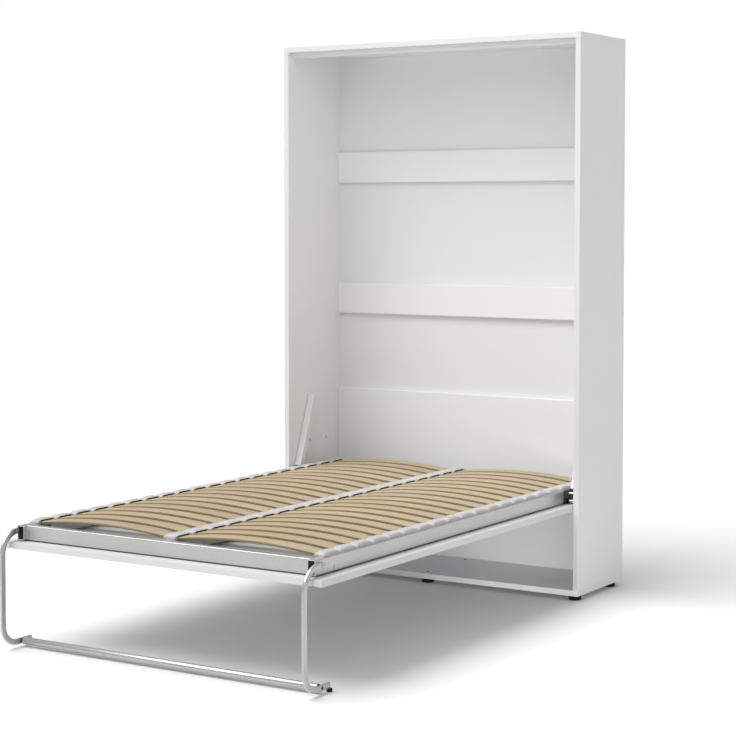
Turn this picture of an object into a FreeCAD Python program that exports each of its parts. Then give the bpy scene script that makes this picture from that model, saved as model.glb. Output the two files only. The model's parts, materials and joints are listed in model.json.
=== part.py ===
import FreeCAD, Part
import math
import os

V = FreeCAD.Vector

# Lengths are in millimetres. X runs along the cabinet's width, Y into the wall, Z up.
# While it is built, Y = 0 is the cabinet's front face. The bed is open, as it is slept in.

# Cabinet
cabinet_width = 1370.0
cabinet_depth = 408.0
cabinet_height = 2188.0
board = 22.0
back_thickness = 6.0
back_rail_thickness = 18.0
back_rail_height = 131.0
upper_rail_bottom = 1629.0
middle_rail_bottom = 1063.0
lower_board_top = 735.0
batten_setback = 25.0
batten_height = 22.0
foot_height = 20.0
foot_radius = 25.0
foot_chamfer = 2.0
foot_side_inset = 33.0
foot_front_setback = 42.0
foot_rear_inset = 58.0
foot_stud_radius = 4.0
foot_stud_rise = 18.0
adjuster_radius = 6.0
adjuster_stand = 1.0
middle_foot_offset = 8.0

# Door under the bed and its hinge
door_side_gap = 3.0
door_head_gap = 3.0
door_foot_gap = 5.0
door_back_gap = 13.0
hinge_setback = 34.5
slot_side_gap = 2.7
slot_length = 66.0

# Steel frame
frame_gap = 4.0
frame_inset = 43.8
rail_height = 50.0
rail_width = 30.0
centre_rail_width = 24.0
tube_wall = 3.0
rail_front_setback = 29.2
rail_rear_setback = 50.0
cross_tube_setback = 14.8
plug_length = 12.0
plug_recess = 0.5
spacer_width = 20.0
spacer_length = 44.0

# Slats and their holders
slat_count = 20
slat_width = 61.0
slat_thickness = 8.0
slat_crown = 20.0
slat_end_gap = 0.5
slat_drop = 3.0
first_slat_setback = 102.0
last_slat_setback = 51.0
holder_gap = 3.5
holder_rise = 16.0
holder_swell = 4.0
holder_lip = 12.0
holder_lip_drop = 10.0
holder_outer_inset = 5.0
holder_bevel = 4.0
holder_peg_radius = 4.0
holder_peg_length = 8.0
pocket_side_gap = 0.8
pocket_head_gap = 3.0
peg_inset = 15.0

# Leg
leg_band = 20.0
leg_thickness = 8.8
leg_side_gap = 1.0
leg_reach = 50.0
leg_pivot_setback = 60.0
leg_pivot_drop = 19.0
leg_upper_radius = 65.0
leg_lower_radius = 55.0
leg_foot_length = 149.0
glide_height = 11.0
glide_radius = 10.0
glide_peg_radius = 2.5
glide_peg_length = 9.0
crossbar_radius = 12.8
crossbar_wall = 1.5
crossbar_setback = 53.0
crossbar_plug_radius = 10.0
crossbar_plug_collar = 6.0
crossbar_plug_length = 20.0

# Hinge hardware
steel_plate = 4.0
hinge_pin_radius = 6.0
bush_radius = 9.0
bush_length = 14.0
pin_end_gap = 0.8
bracket_corner = 11.0
bracket_length = 68.0
bracket_rise = 28.5
bracket_flange = 19.0
bracket_flange_length = 10.0
bracket_flange_thickness = 3.0
bracket_bolt_margin = 1.5
lift_plate_thickness = 5.0
lift_plate_front = 22.0
lift_plate_rear = 76.0
lift_plate_bolt_inset = 13.0
lift_plate_bolt_pitch = 28.0
lever_radius = 30.0
stud_radius = 5.0
stud_tip_gap = 1.5

# Gas springs and their covers
spring_lean = 20.0
spring_pin_rise = 330.0
spring_axis_inset = 9.0
cover_stand_off = 31.0
cover_wall_gap = 1.5
cover_thickness = 2.5
cover_width = 25.0
cover_head = 31.0
cover_foot_gap = 8.0
cover_corner = 8.0
cover_rib_length = 10.0
cover_rib_grip = 2.0
cylinder_radius = 8.0
cylinder_bore = 6.0
cylinder_share = 0.683
cylinder_neck = 8.0
cylinder_head = 12.0
gland_length = 6.0
rod_radius = 3.5
rod_inner_share = 0.2
piston_radius = 5.6
piston_length = 8.0
eye_radius = 9.0
eye_thickness = 8.0
spring_pin_radius = 4.0
spring_shoulder_radius = 6.5
spring_shoulder_length = 3.0

# Fasteners
screw_head_radius = 5.0
screw_head_height = 4.0
screw_radius = 3.0
carcass_screw_length = 60.0
back_screw_length = 20.0
door_screw_length = 13.0
dowel_radius = 4.0
dowel_length = 40.0
dowel_panel_share = 0.35
bolt_head_radius = 7.0
bolt_head_height = 3.0
bolt_radius = 4.0
panel_bolt_length = 16.0
wall_bolt_rise = 143.5
nut_radius = 7.5
nut_height = 6.0
clamp_length = 40.0
clamp_rise = 40.0
clamp_flange = 30.0
clamp_thickness = 3.0
clamp_bolt_rise = 12.0
clamp_front_setback = 142.0
clamp_rear_setback = 160.0
clamp_screw_share = 0.28
pivot_radius = 5.0
washer_radius = 9.0

# Fits
running_gap = 0.06
moving_gap = 0.3

# Where the fasteners stand, as shares of the part they are in
carcass_screw_shares = (0.12, 0.5, 0.88)
dowel_height_shares = (0.25, 0.75)
back_screw_shares = (-0.4, -0.14, 0.14, 0.4)
spacer_shares = (0.06, 0.28, 0.5, 0.72, 0.94)
wall_bolt_shares = (0.387, 0.696)
cover_rib_shares = (0.3, 0.8)

# Cuts run this far past the faces that they open
overrun = 2.0

# Derived sizes
half_width = cabinet_width / 2
inner_half = half_width - board
floor_top = foot_height + board
roof_bottom = cabinet_height - board
back_face = cabinet_depth - back_thickness
rail_face = back_face - back_rail_thickness

door_half = inner_half - door_side_gap
door_rear = rail_face - door_back_gap
hinge_height = floor_top + door_foot_gap + door_rear - hinge_setback
door_bottom = hinge_height - hinge_setback
door_top = door_bottom + board
door_front = hinge_setback - (roof_bottom - door_head_gap - hinge_height)

frame_half = door_half - frame_inset
rail_inner = frame_half - rail_width
frame_bottom = door_top + frame_gap
frame_top = frame_bottom + rail_height
rail_front = door_front + rail_front_setback
rail_rear = door_rear - rail_rear_setback
foot_tube_front = rail_front + cross_tube_setback
foot_tube_rear = foot_tube_front + rail_width
head_tube_front = rail_rear - rail_width
centre_half = centre_rail_width / 2

slat_low_x = centre_half + slat_end_gap
slat_high_x = rail_inner - slat_end_gap
slat_middle_x = (slat_low_x + slat_high_x) / 2
slat_span = slat_high_x - slat_low_x
slat_under_radius = slat_span ** 2 / (8 * slat_crown) + slat_crown / 2
slat_end_z = frame_top - slat_drop
first_slat_y = door_front + first_slat_setback + slat_width / 2
slat_pitch = (head_tube_front - last_slat_setback - first_slat_y) / (slat_count - 1)
holder_length = slat_pitch - holder_gap

leg_inner = frame_half + leg_side_gap
leg_outer = leg_inner + leg_thickness
leg_front = door_front - leg_reach
pivot_y = door_front + leg_pivot_setback
pivot_z = frame_top - leg_pivot_drop
foot_centre_z = glide_height + leg_band / 2
foot_end_y = leg_front + leg_foot_length
crossbar_y = door_front + crossbar_setback
washer_thickness = leg_side_gap - moving_gap

# The open bed's lever stud lies on the straight line from the hinge to the spring's upper pin
lean = math.radians(spring_lean)
lever_y = hinge_setback + lever_radius * math.sin(lean)
lever_z = hinge_height + lever_radius * math.cos(lean)
lift_outer = frame_half + lift_plate_thickness
spring_top_y = hinge_setback + spring_pin_rise * math.sin(lean)
spring_top_z = hinge_height + spring_pin_rise * math.cos(lean)
spring_x = inner_half - spring_axis_inset
spring_length = spring_pin_rise - lever_radius
cylinder_length = spring_length * cylinder_share

# The middle of the whole object's depth becomes Y = 0 of the finished part
centre_shift = (-leg_front - cabinet_depth) / 2


def box(x_low, x_high, y_low, y_high, z_low, z_high):
    corner = V(x_low, y_low, z_low)
    return Part.makeBox(x_high - x_low, y_high - y_low, z_high - z_low, corner)


def rod_x(x_low, x_high, y, z, radius):
    return Part.makeCylinder(radius, x_high - x_low, V(x_low, y, z), V(1, 0, 0))


def rod_y(x, y_low, y_high, z, radius):
    return Part.makeCylinder(radius, y_high - y_low, V(x, y_low, z), V(0, 1, 0))


def rod_z(x, y, z_low, z_high, radius):
    return Part.makeCylinder(radius, z_high - z_low, V(x, y, z_low), V(0, 0, 1))


def prism_x(points, x_low, x_high):
    corners = [V(x_low, y, z) for y, z in points]
    face = Part.Face(Part.makePolygon(corners + corners[:1]))
    return face.extrude(V(x_high - x_low, 0, 0))


def prism_y(points, y_low, y_high):
    corners = [V(x, y_low, z) for x, z in points]
    face = Part.Face(Part.makePolygon(corners + corners[:1]))
    return face.extrude(V(0, y_high - y_low, 0))


def mirrored(shape):
    return shape.mirror(V(0, 0, 0), V(1, 0, 0))


def both_sides(shapes):
    return shapes + [mirrored(shape) for shape in shapes]


def moved(shape, x, y, z):
    copy = shape.copy()
    copy.translate(V(x, y, z))
    return copy


def fused(shapes):
    result = shapes[0].fuse(shapes[1:])
    return result.removeSplitter()


def cut(shape, tools):
    return shape.cut(tools) if tools else shape


def group(shapes):
    return Part.makeCompound(shapes)


# Cabinet

def carcass_screw(x, y, z, up):
    """Countersunk screw whose head is flush with z and whose shank points up or down."""
    head_z = z if up else z - screw_head_height
    shank_z = z if up else z - carcass_screw_length
    head = rod_z(x, y, head_z, head_z + screw_head_height, screw_head_radius)
    shank = rod_z(x, y, shank_z, shank_z + carcass_screw_length, screw_radius)
    return fused([head, shank])


def carcass_screws():
    shapes = []
    x = half_width - board / 2
    for share in carcass_screw_shares:
        y = cabinet_depth * share
        shapes.append(carcass_screw(x, y, foot_height, True))
        shapes.append(carcass_screw(x, y, cabinet_height, False))
    return both_sides(shapes)


def dowel(y, z):
    x = inner_half + dowel_length * dowel_panel_share
    return rod_x(x - dowel_length, x, y, z, dowel_radius)


def rail_dowels():
    y = rail_face + back_rail_thickness / 2
    heights = [
        (upper_rail_bottom, back_rail_height),
        (middle_rail_bottom, back_rail_height),
        (floor_top, lower_board_top - floor_top),
    ]
    shapes = [dowel(y, low + tall * share) for low, tall in heights for share in dowel_height_shares]
    shapes.append(dowel(batten_setback + board / 2, roof_bottom - batten_height / 2))
    return both_sides(shapes)


def back_screw(x, z):
    shank = rod_y(x, cabinet_depth - back_screw_length, cabinet_depth, z, screw_radius)
    head = rod_y(x, cabinet_depth - screw_head_height, cabinet_depth, z, screw_head_radius)
    return fused([shank, head])


def back_panel_screws():
    middles = (
        upper_rail_bottom + back_rail_height / 2,
        middle_rail_bottom + back_rail_height / 2,
        (floor_top + lower_board_top) / 2,
    )
    return [back_screw(2 * inner_half * share, z) for z in middles for share in back_screw_shares]


def wall_bolt(y, z):
    """Dome-headed bolt on the inner face of the right side panel."""
    head = rod_x(inner_half - bolt_head_height, inner_half, y, z, bolt_head_radius)
    shank = rod_x(inner_half, inner_half + panel_bolt_length, y, z, bolt_radius)
    return fused([head, shank])


def joining_bolts():
    z = hinge_height + wall_bolt_rise
    return both_sides([wall_bolt(cabinet_depth * share, z) for share in wall_bolt_shares])


def side_panel_right(fittings):
    panel = box(inner_half, half_width, 0, cabinet_depth, floor_top, roof_bottom)
    return cut(panel, fittings)


def top_panel(fittings):
    panel = box(-half_width, half_width, 0, cabinet_depth, roof_bottom, cabinet_height)
    return cut(panel, fittings)


def bottom_panel(fittings):
    panel = box(-half_width, half_width, 0, cabinet_depth, foot_height, floor_top)
    return cut(panel, fittings)


def top_batten(fittings):
    low = roof_bottom - batten_height
    batten = box(-inner_half, inner_half, batten_setback, batten_setback + board, low, roof_bottom)
    return cut(batten, fittings)


def back_panel(fittings):
    panel = box(-inner_half, inner_half, back_face, cabinet_depth, floor_top, roof_bottom)
    return cut(panel, fittings)


def back_rail(low, high, fittings):
    rail = box(-inner_half, inner_half, rail_face, back_face, low, high)
    return cut(rail, fittings)


def foot_places():
    side_x = half_width - foot_side_inset
    rear_y = cabinet_depth - foot_rear_inset
    columns = (-side_x, -middle_foot_offset, side_x)
    return [(x, y) for x in columns for y in (foot_front_setback, rear_y)]


def cabinet_foot(x, y):
    pad = rod_z(x, y, 0, foot_height - foot_chamfer, foot_radius)
    taper_radius = foot_radius - foot_chamfer
    taper = Part.makeCone(foot_radius, taper_radius, foot_chamfer, V(x, y, foot_height - foot_chamfer))
    stud = rod_z(x, y, 0, foot_height + foot_stud_rise, foot_stud_radius)
    return fused([pad, taper, stud])


def cabinet_feet():
    return [cabinet_foot(x, y) for x, y in foot_places()]


def foot_adjusters():
    """Dark caps over the studs of the two middle feet."""
    low = foot_height + foot_stud_rise
    high = floor_top + adjuster_stand
    places = [(x, y) for x, y in foot_places() if abs(x) < inner_half / 2]
    return [rod_z(x, y, low, high, adjuster_radius) for x, y in places]


# Hinge hardware on the walls

def wall_bracket_right(fittings):
    """Plate on the wall, rounded about the hinge axis so that the door turns past it."""
    wall = inner_half
    inner = wall - steel_plate
    top = hinge_height + bracket_rise
    rear = hinge_setback + bracket_length
    front = hinge_setback - bracket_corner
    plate = box(inner, wall, hinge_setback, rear, hinge_height - bracket_corner, top)
    nose = box(inner, wall, front, hinge_setback, hinge_height, top)
    corner = rod_x(inner, wall, hinge_setback, hinge_height, bracket_corner)
    low = top - bracket_flange_thickness
    flange = box(inner - bracket_flange, inner, front, front + bracket_flange_length, low, top)
    return cut(fused([plate, nose, corner, flange]), fittings)


def bracket_bolt(y, z):
    inner = inner_half - steel_plate
    head = rod_x(inner - bolt_head_height, inner, y, z, screw_head_radius)
    shank = rod_x(inner, inner_half + panel_bolt_length, y, z, bolt_radius)
    return fused([head, shank])


def bracket_bolts():
    margin = screw_head_radius + bracket_bolt_margin
    high = hinge_height + bracket_rise - bracket_flange_thickness - margin
    front = hinge_setback - bracket_corner + margin
    rear = hinge_setback + bracket_length - margin
    return both_sides([bracket_bolt(front, high), bracket_bolt(rear, hinge_height)])


def hinge_pins():
    low = frame_half + pin_end_gap
    return both_sides([rod_x(low, inner_half, hinge_setback, hinge_height, hinge_pin_radius)])


def hinge_bushes():
    low = frame_half
    ring = rod_x(low, low + bush_length, hinge_setback, hinge_height, bush_radius)
    bore_radius = hinge_pin_radius + running_gap
    bore = rod_x(low - overrun, low + bush_length + overrun, hinge_setback, hinge_height, bore_radius)
    return both_sides([ring.cut(bore)])


def lever_studs():
    tip = spring_x - eye_thickness / 2 - stud_tip_gap
    return both_sides([rod_x(frame_half, tip, lever_y, lever_z, stud_radius)])


def lift_plate_bolt(y, z):
    high = lift_outer + bolt_head_height
    head = rod_x(lift_outer, high, y, z, bolt_head_radius)
    shank = rod_x(frame_half - tube_wall - nut_height, lift_outer, y, z, bolt_radius)
    return fused([head, shank])


def lift_plate_bolts():
    z = (frame_bottom + frame_top) / 2
    rear = hinge_setback + lift_plate_rear - lift_plate_bolt_inset
    front = rear - lift_plate_bolt_pitch
    return both_sides([lift_plate_bolt(front, z), lift_plate_bolt(rear, z)])


def lift_plate_right(fittings):
    front = hinge_setback - lift_plate_front
    rear = hinge_setback + lift_plate_rear
    bottom = hinge_height - bracket_corner
    plate = box(frame_half, lift_outer, front, rear, bottom, frame_top)
    hub = rod_x(frame_half, lift_outer, hinge_setback, hinge_height, bush_radius)
    return cut(plate, [hub] + fittings)


# Gas springs and their covers

def spring_top_pin():
    """Pin in the wall with a shoulder on each side of the gas spring's eye."""
    y, z = spring_top_y, spring_top_z
    eye_low = spring_x - eye_thickness / 2 - moving_gap
    eye_high = spring_x + eye_thickness / 2 + moving_gap
    tip = eye_low - spring_shoulder_length
    pin = rod_x(tip, inner_half + panel_bolt_length, y, z, spring_pin_radius)
    outer_shoulder = rod_x(tip, eye_low, y, z, spring_shoulder_radius)
    wall_shoulder = rod_x(eye_high, inner_half, y, z, spring_shoulder_radius)
    return fused([pin, outer_shoulder, wall_shoulder])


def spring_placed(shape):
    """Takes a shape drawn downwards from the upper pivot to the spring's place on the wall."""
    copy = shape.copy()
    copy.rotate(V(0, 0, 0), V(1, 0, 0), -spring_lean)
    copy.translate(V(spring_x, spring_top_y, spring_top_z))
    return copy


def eye(z, bore):
    ring = rod_x(-eye_thickness / 2, eye_thickness / 2, 0, z, eye_radius)
    hole = rod_x(-eye_thickness, eye_thickness, 0, z, bore)
    return ring, hole


def gas_cylinder_right():
    ring, hole = eye(0, spring_pin_radius + running_gap)
    body = rod_z(0, 0, -cylinder_length, -cylinder_neck, cylinder_radius)
    bore = rod_z(0, 0, gland_length - cylinder_length, -cylinder_neck - cylinder_head, cylinder_bore)
    mouth = rod_z(0, 0, -cylinder_length - overrun, gland_length - cylinder_length, rod_radius + running_gap)
    return spring_placed(fused([ring, body]).cut([hole, bore, mouth]))


def gas_rod_right():
    ring, hole = eye(-spring_length, stud_radius + running_gap)
    top = -spring_length * rod_inner_share
    rod = rod_z(0, 0, -spring_length + stud_radius, top, rod_radius)
    piston = rod_z(0, 0, top - piston_length, top, piston_radius)
    return spring_placed(fused([ring, rod, piston]).cut(hole))


def cover_rib(share, face, half):
    """Rib across the cover that grips the cylinder a little past its middle."""
    middle = -cylinder_length * share
    low = middle - cover_rib_length / 2
    high = middle + cover_rib_length / 2
    block = box(face, cover_rib_grip, -half, half, low, high)
    seat = rod_z(0, 0, low - overrun, high + overrun, cylinder_radius + running_gap)
    return block.cut(seat)


def spring_cover_right():
    """Channel over the gas spring, open to the wall and at its foot, that swings with the cylinder."""
    face = inner_half - cover_stand_off - spring_x
    rear = inner_half - cover_wall_gap - spring_x
    half = cover_width / 2
    foot = eye_radius + cover_foot_gap - spring_length
    shell = box(face, rear, -half, half, foot, cover_head)
    corners = [edge for edge in shell.Edges if is_rear_upper(edge)]
    shell = shell.makeFillet(cover_corner, corners)
    inner_face = face + cover_thickness
    inner_half_width = half - cover_thickness
    top = cover_head - cover_thickness
    hollow = box(inner_face, rear + overrun, -inner_half_width, inner_half_width, foot - overrun, top)
    ribs = [cover_rib(share, inner_face, inner_half_width) for share in cover_rib_shares]
    return spring_placed(fused([shell.cut(hollow)] + ribs))


def is_rear_upper(edge):
    """True for the edge along X at the rear upper corner of the cover as drawn."""
    return all(v.Point.y > 0 and v.Point.z > 0 for v in edge.Vertexes) and abs(edge.tangentAt(0).x) > 0


# Door and frame

def front_panel(fittings):
    panel = box(-door_half, door_half, door_front, door_rear, door_bottom, door_top)
    low = leg_inner - slot_side_gap
    high = leg_outer + slot_side_gap
    front = door_front - overrun
    rear = door_front + slot_length
    slot = box(low, high, front, rear, door_bottom - overrun, door_top + overrun)
    return cut(panel, both_sides([slot]) + fittings)


def tube_y(x_low, x_high, y_low, y_high):
    outer = box(x_low, x_high, y_low, y_high, frame_bottom, frame_top)
    low = frame_bottom + tube_wall
    high = frame_top - tube_wall
    inner = box(x_low + tube_wall, x_high - tube_wall, y_low - overrun, y_high + overrun, low, high)
    return outer.cut(inner)


def tube_x(y_low, y_high):
    """Tube across the frame, from one side rail to the other."""
    outer = box(-rail_inner, rail_inner, y_low, y_high, frame_bottom, frame_top)
    low = frame_bottom + tube_wall
    high = frame_top - tube_wall
    x = rail_inner + overrun
    inner = box(-x, x, y_low + tube_wall, y_high - tube_wall, low, high)
    return outer.cut(inner)


def side_rail_right(fittings):
    return cut(tube_y(rail_inner, frame_half, rail_front, rail_rear), fittings)


def centre_rail(fittings):
    return cut(tube_y(-centre_half, centre_half, foot_tube_rear, head_tube_front), fittings)


def rail_end_plugs():
    x_low = rail_inner + tube_wall
    x_high = frame_half - tube_wall
    z_low = frame_bottom + tube_wall
    z_high = frame_top - tube_wall
    front = rail_front + plug_recess
    rear = rail_rear - plug_recess
    foot_plug = box(x_low, x_high, front, front + plug_length, z_low, z_high)
    head_plug = box(x_low, x_high, rear - plug_length, rear, z_low, z_high)
    return both_sides([foot_plug, head_plug])


def frame_spacers():
    shapes = []
    side_x = (rail_inner + frame_half) / 2
    for share in spacer_shares:
        y = rail_front + (rail_rear - rail_front) * share
        for x in (-side_x, 0, side_x):
            x_low = x - spacer_width / 2
            y_low = y - spacer_length / 2
            pad = box(x_low, x_low + spacer_width, y_low, y_low + spacer_length, door_top, frame_bottom)
            shapes.append(pad)
    return shapes


def clamp_rows():
    return (door_front + clamp_front_setback, door_rear - clamp_rear_setback)


def frame_clamp(y, fittings):
    """Angle that ties a side rail to the door."""
    low = y - clamp_length / 2
    high = y + clamp_length / 2
    face = rail_inner - clamp_thickness
    upright = box(face, rail_inner, low, high, door_top, door_top + clamp_rise)
    flange = box(rail_inner - clamp_flange, rail_inner, low, high, door_top, door_top + clamp_thickness)
    return cut(fused([upright, flange]), fittings)


def clamp_bolt(y):
    z = frame_bottom + clamp_bolt_rise
    head = rod_x(frame_half, frame_half + bolt_head_height / 2, y, z, bolt_head_radius)
    shank = rod_x(rail_inner - clamp_thickness - nut_height, frame_half, y, z, bolt_radius)
    return fused([head, shank])


def nut_blank(x_low, x_high, y, z):
    corners = []
    for step in range(6):
        turn = math.radians(60 * step)
        corners.append((y + nut_radius * math.cos(turn), z + nut_radius * math.sin(turn)))
    return prism_x(corners, x_low, x_high)


def clamp_nut(y):
    z = frame_bottom + clamp_bolt_rise
    face = rail_inner - clamp_thickness
    return nut_blank(face - nut_height, face, y, z).cut(clamp_bolt(y))


def clamp_screw(y):
    x = rail_inner - clamp_flange / 2 - clamp_thickness / 2
    top = door_top + clamp_thickness
    shank = rod_z(x, y, top - door_screw_length, top, screw_radius / 2)
    head = rod_z(x, y, top, top + screw_head_height / 2, screw_radius)
    return fused([head, shank])


def clamp_screws():
    offset = clamp_length * clamp_screw_share
    return both_sides([clamp_screw(y + side * offset) for y in clamp_rows() for side in (-1, 1)])


# Slats

def slat_right(y):
    """Bowed slat, higher in the middle than at its ends."""
    centre_z = slat_end_z + slat_crown - slat_under_radius
    low = y - slat_width / 2
    high = y + slat_width / 2
    outer = rod_y(slat_middle_x, low, high, centre_z, slat_under_radius + slat_thickness)
    inner = rod_y(slat_middle_x, low - overrun, high + overrun, centre_z, slat_under_radius)
    top = slat_end_z + slat_crown + slat_thickness + overrun
    room = box(slat_low_x, slat_high_x, low, high, slat_end_z - slat_thickness, top)
    return outer.cut(inner).common(room)


def pocket(slat, x_low, x_high):
    """Room for a slat's end: the slat itself and the dark gap over and beside it."""
    half = slat_width / 2 + pocket_side_gap
    high = slat_end_z + slat_thickness + pocket_head_gap
    low = slat_end_z + slat_thickness / 2
    return slat.fuse(box(x_low, x_high, -half, half, low, high))


def swell(x_low, x_high):
    """Solid whose top gives each holder its rounded back."""
    half = holder_length / 2
    radius = half ** 2 / (2 * holder_swell) + holder_swell / 2
    centre_z = frame_top + holder_rise - radius
    return rod_x(x_low - overrun, x_high + overrun, 0, centre_z, radius)


def side_holder(slat):
    half = holder_length / 2
    inner = rail_inner - holder_lip
    outer = frame_half - holder_outer_inset
    bottom = frame_top - holder_lip_drop
    top = frame_top + holder_rise
    outline = [
        (rail_inner, bottom), (inner, bottom), (inner, top - holder_bevel), (inner + holder_bevel, top),
        (outer - holder_bevel, top), (outer, top - holder_bevel), (outer, frame_top), (rail_inner, frame_top),
    ]
    body = prism_y(outline, -half, half).common(swell(inner, outer))
    body = body.cut(pocket(slat, inner - overrun, rail_inner - slat_end_gap))
    return fused([body, holder_peg(frame_half - peg_inset)])


def centre_holder(slat):
    half = holder_length / 2
    edge = centre_half + holder_lip
    bottom = frame_top - holder_lip_drop
    top = frame_top + holder_rise
    outline = [
        (centre_half, bottom), (edge, bottom), (edge, top - holder_bevel), (edge - holder_bevel, top),
        (holder_bevel - edge, top), (-edge, top - holder_bevel), (-edge, bottom), (-centre_half, bottom),
        (-centre_half, frame_top), (centre_half, frame_top),
    ]
    body = prism_y(outline, -half, half).common(swell(-edge, edge))
    pockets = both_sides([pocket(slat, slat_low_x, edge + overrun)])
    return fused([body.cut(pockets), holder_peg(0)])


def holder_peg(x):
    return rod_z(x, 0, frame_top - holder_peg_length, frame_top, holder_peg_radius)


def in_rows(shape):
    return [moved(shape, 0, first_slat_y + slat_pitch * row, 0) for row in range(slat_count)]


# Leg

def quarter_band(y, z, radius, y_low, z_low):
    """Quarter of a ring about the given centre, in the quadrant whose low corner is given."""
    outer = radius + leg_band
    ring = rod_x(leg_inner, leg_outer, y, z, outer)
    hole = rod_x(leg_inner - overrun, leg_outer + overrun, y, z, radius)
    quadrant = box(leg_inner, leg_outer, y_low, y_low + outer, z_low, z_low + outer)
    return ring.cut(hole).common(quadrant)


def leg_right(fittings):
    half = leg_band / 2
    upper_y = leg_front + leg_band + leg_upper_radius
    upper_z = pivot_z - half - leg_upper_radius
    lower_y = leg_front + leg_band + leg_lower_radius
    lower_z = foot_centre_z + half + leg_lower_radius
    lower_outer = leg_lower_radius + leg_band
    arm = box(leg_inner, leg_outer, upper_y, pivot_y, pivot_z - half, pivot_z + half)
    arm_end = rod_x(leg_inner, leg_outer, pivot_y, pivot_z, half)
    upper_bend = quarter_band(upper_y, upper_z, leg_upper_radius, leg_front, upper_z)
    post = box(leg_inner, leg_outer, leg_front, leg_front + leg_band, lower_z, upper_z)
    lower_bend = quarter_band(lower_y, lower_z, leg_lower_radius, leg_front, lower_z - lower_outer)
    foot = box(leg_inner, leg_outer, lower_y, foot_end_y, foot_centre_z - half, foot_centre_z + half)
    foot_end = rod_x(leg_inner, leg_outer, foot_end_y, foot_centre_z, half)
    band = fused([arm, arm_end, upper_bend, post, lower_bend, foot, foot_end])
    hole_radius = pivot_radius + running_gap
    hole = rod_x(leg_inner - overrun, leg_outer + overrun, pivot_y, pivot_z, hole_radius)
    return cut(band, [hole] + fittings)


def leg_pivot_bolts():
    head_x = leg_outer + moving_gap
    head = rod_x(head_x, head_x + bolt_head_height, pivot_y, pivot_z, bolt_head_radius)
    shank = rod_x(frame_half - tube_wall - nut_height, head_x, pivot_y, pivot_z, pivot_radius)
    return both_sides([fused([head, shank])])


def leg_pivot_nuts(fittings):
    inner = frame_half - tube_wall
    return both_sides([cut(nut_blank(inner - nut_height, inner, pivot_y, pivot_z), fittings)])


def leg_washers(fittings):
    washer = rod_x(frame_half, frame_half + washer_thickness, pivot_y, pivot_z, washer_radius)
    return both_sides([cut(washer, fittings)])


def glide():
    x = (leg_inner + leg_outer) / 2
    pad = rod_z(x, foot_end_y, 0, glide_height, glide_radius)
    peg = rod_z(x, foot_end_y, 0, glide_height + glide_peg_length, glide_peg_radius)
    return fused([pad, peg])


def leg_crossbar():
    end = leg_inner - crossbar_plug_collar
    tube = rod_x(-end, end, crossbar_y, foot_centre_z, crossbar_radius)
    bore = rod_x(-end - overrun, end + overrun, crossbar_y, foot_centre_z, crossbar_radius - crossbar_wall)
    return tube.cut(bore)


def crossbar_plug(fittings):
    end = leg_inner - crossbar_plug_collar
    collar = rod_x(end, leg_inner, crossbar_y, foot_centre_z, crossbar_plug_radius)
    spigot_radius = crossbar_radius - crossbar_wall
    spigot = rod_x(end - crossbar_plug_length, end, crossbar_y, foot_centre_z, spigot_radius)
    return cut(fused([collar, spigot]), fittings)


def crossbar_screw():
    head = rod_x(leg_outer, leg_outer + overrun, crossbar_y, foot_centre_z, screw_head_radius)
    low = leg_inner - crossbar_plug_length
    shank = rod_x(low, leg_outer, crossbar_y, foot_centre_z, screw_radius)
    return fused([head, shank])


# Assembly

def build_cabinet():
    screws = carcass_screws()
    dowels = rail_dowels()
    back_screws = back_panel_screws()
    joiners = joining_bolts()
    bracket_fixings = bracket_bolts()
    pins = hinge_pins()
    top_pin = spring_top_pin()
    feet = cabinet_feet()
    adjusters = foot_adjusters()
    wall_fittings = screws + dowels + joiners + bracket_fixings + [top_pin]
    side = side_panel_right(wall_fittings)
    bracket = wall_bracket_right(bracket_fixings + pins)
    back_fittings = dowels + back_screws
    middle_top = middle_rail_bottom + back_rail_height
    upper_top = upper_rail_bottom + back_rail_height
    return {
        "side_panel_left": mirrored(side),
        "side_panel_right": side,
        "top_panel": top_panel(screws),
        "bottom_panel": bottom_panel(screws + feet + adjusters),
        "top_batten": top_batten(dowels),
        "back_panel": back_panel(back_screws),
        "upper_back_rail": back_rail(upper_rail_bottom, upper_top, back_fittings),
        "middle_back_rail": back_rail(middle_rail_bottom, middle_top, back_fittings),
        "lower_back_board": back_rail(floor_top, lower_board_top, back_fittings),
        "carcass_screws": group(screws),
        "rail_dowels": group(dowels),
        "back_panel_screws": group(back_screws),
        "cabinet_feet": group(feet),
        "foot_adjusters": group(adjusters),
        "joining_bolts": group(joiners),
        "wall_bracket_left": mirrored(bracket),
        "wall_bracket_right": bracket,
        "bracket_bolts": group(bracket_fixings),
        "hinge_pins": group(pins),
        "spring_top_pins": group(both_sides([top_pin])),
    }


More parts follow.
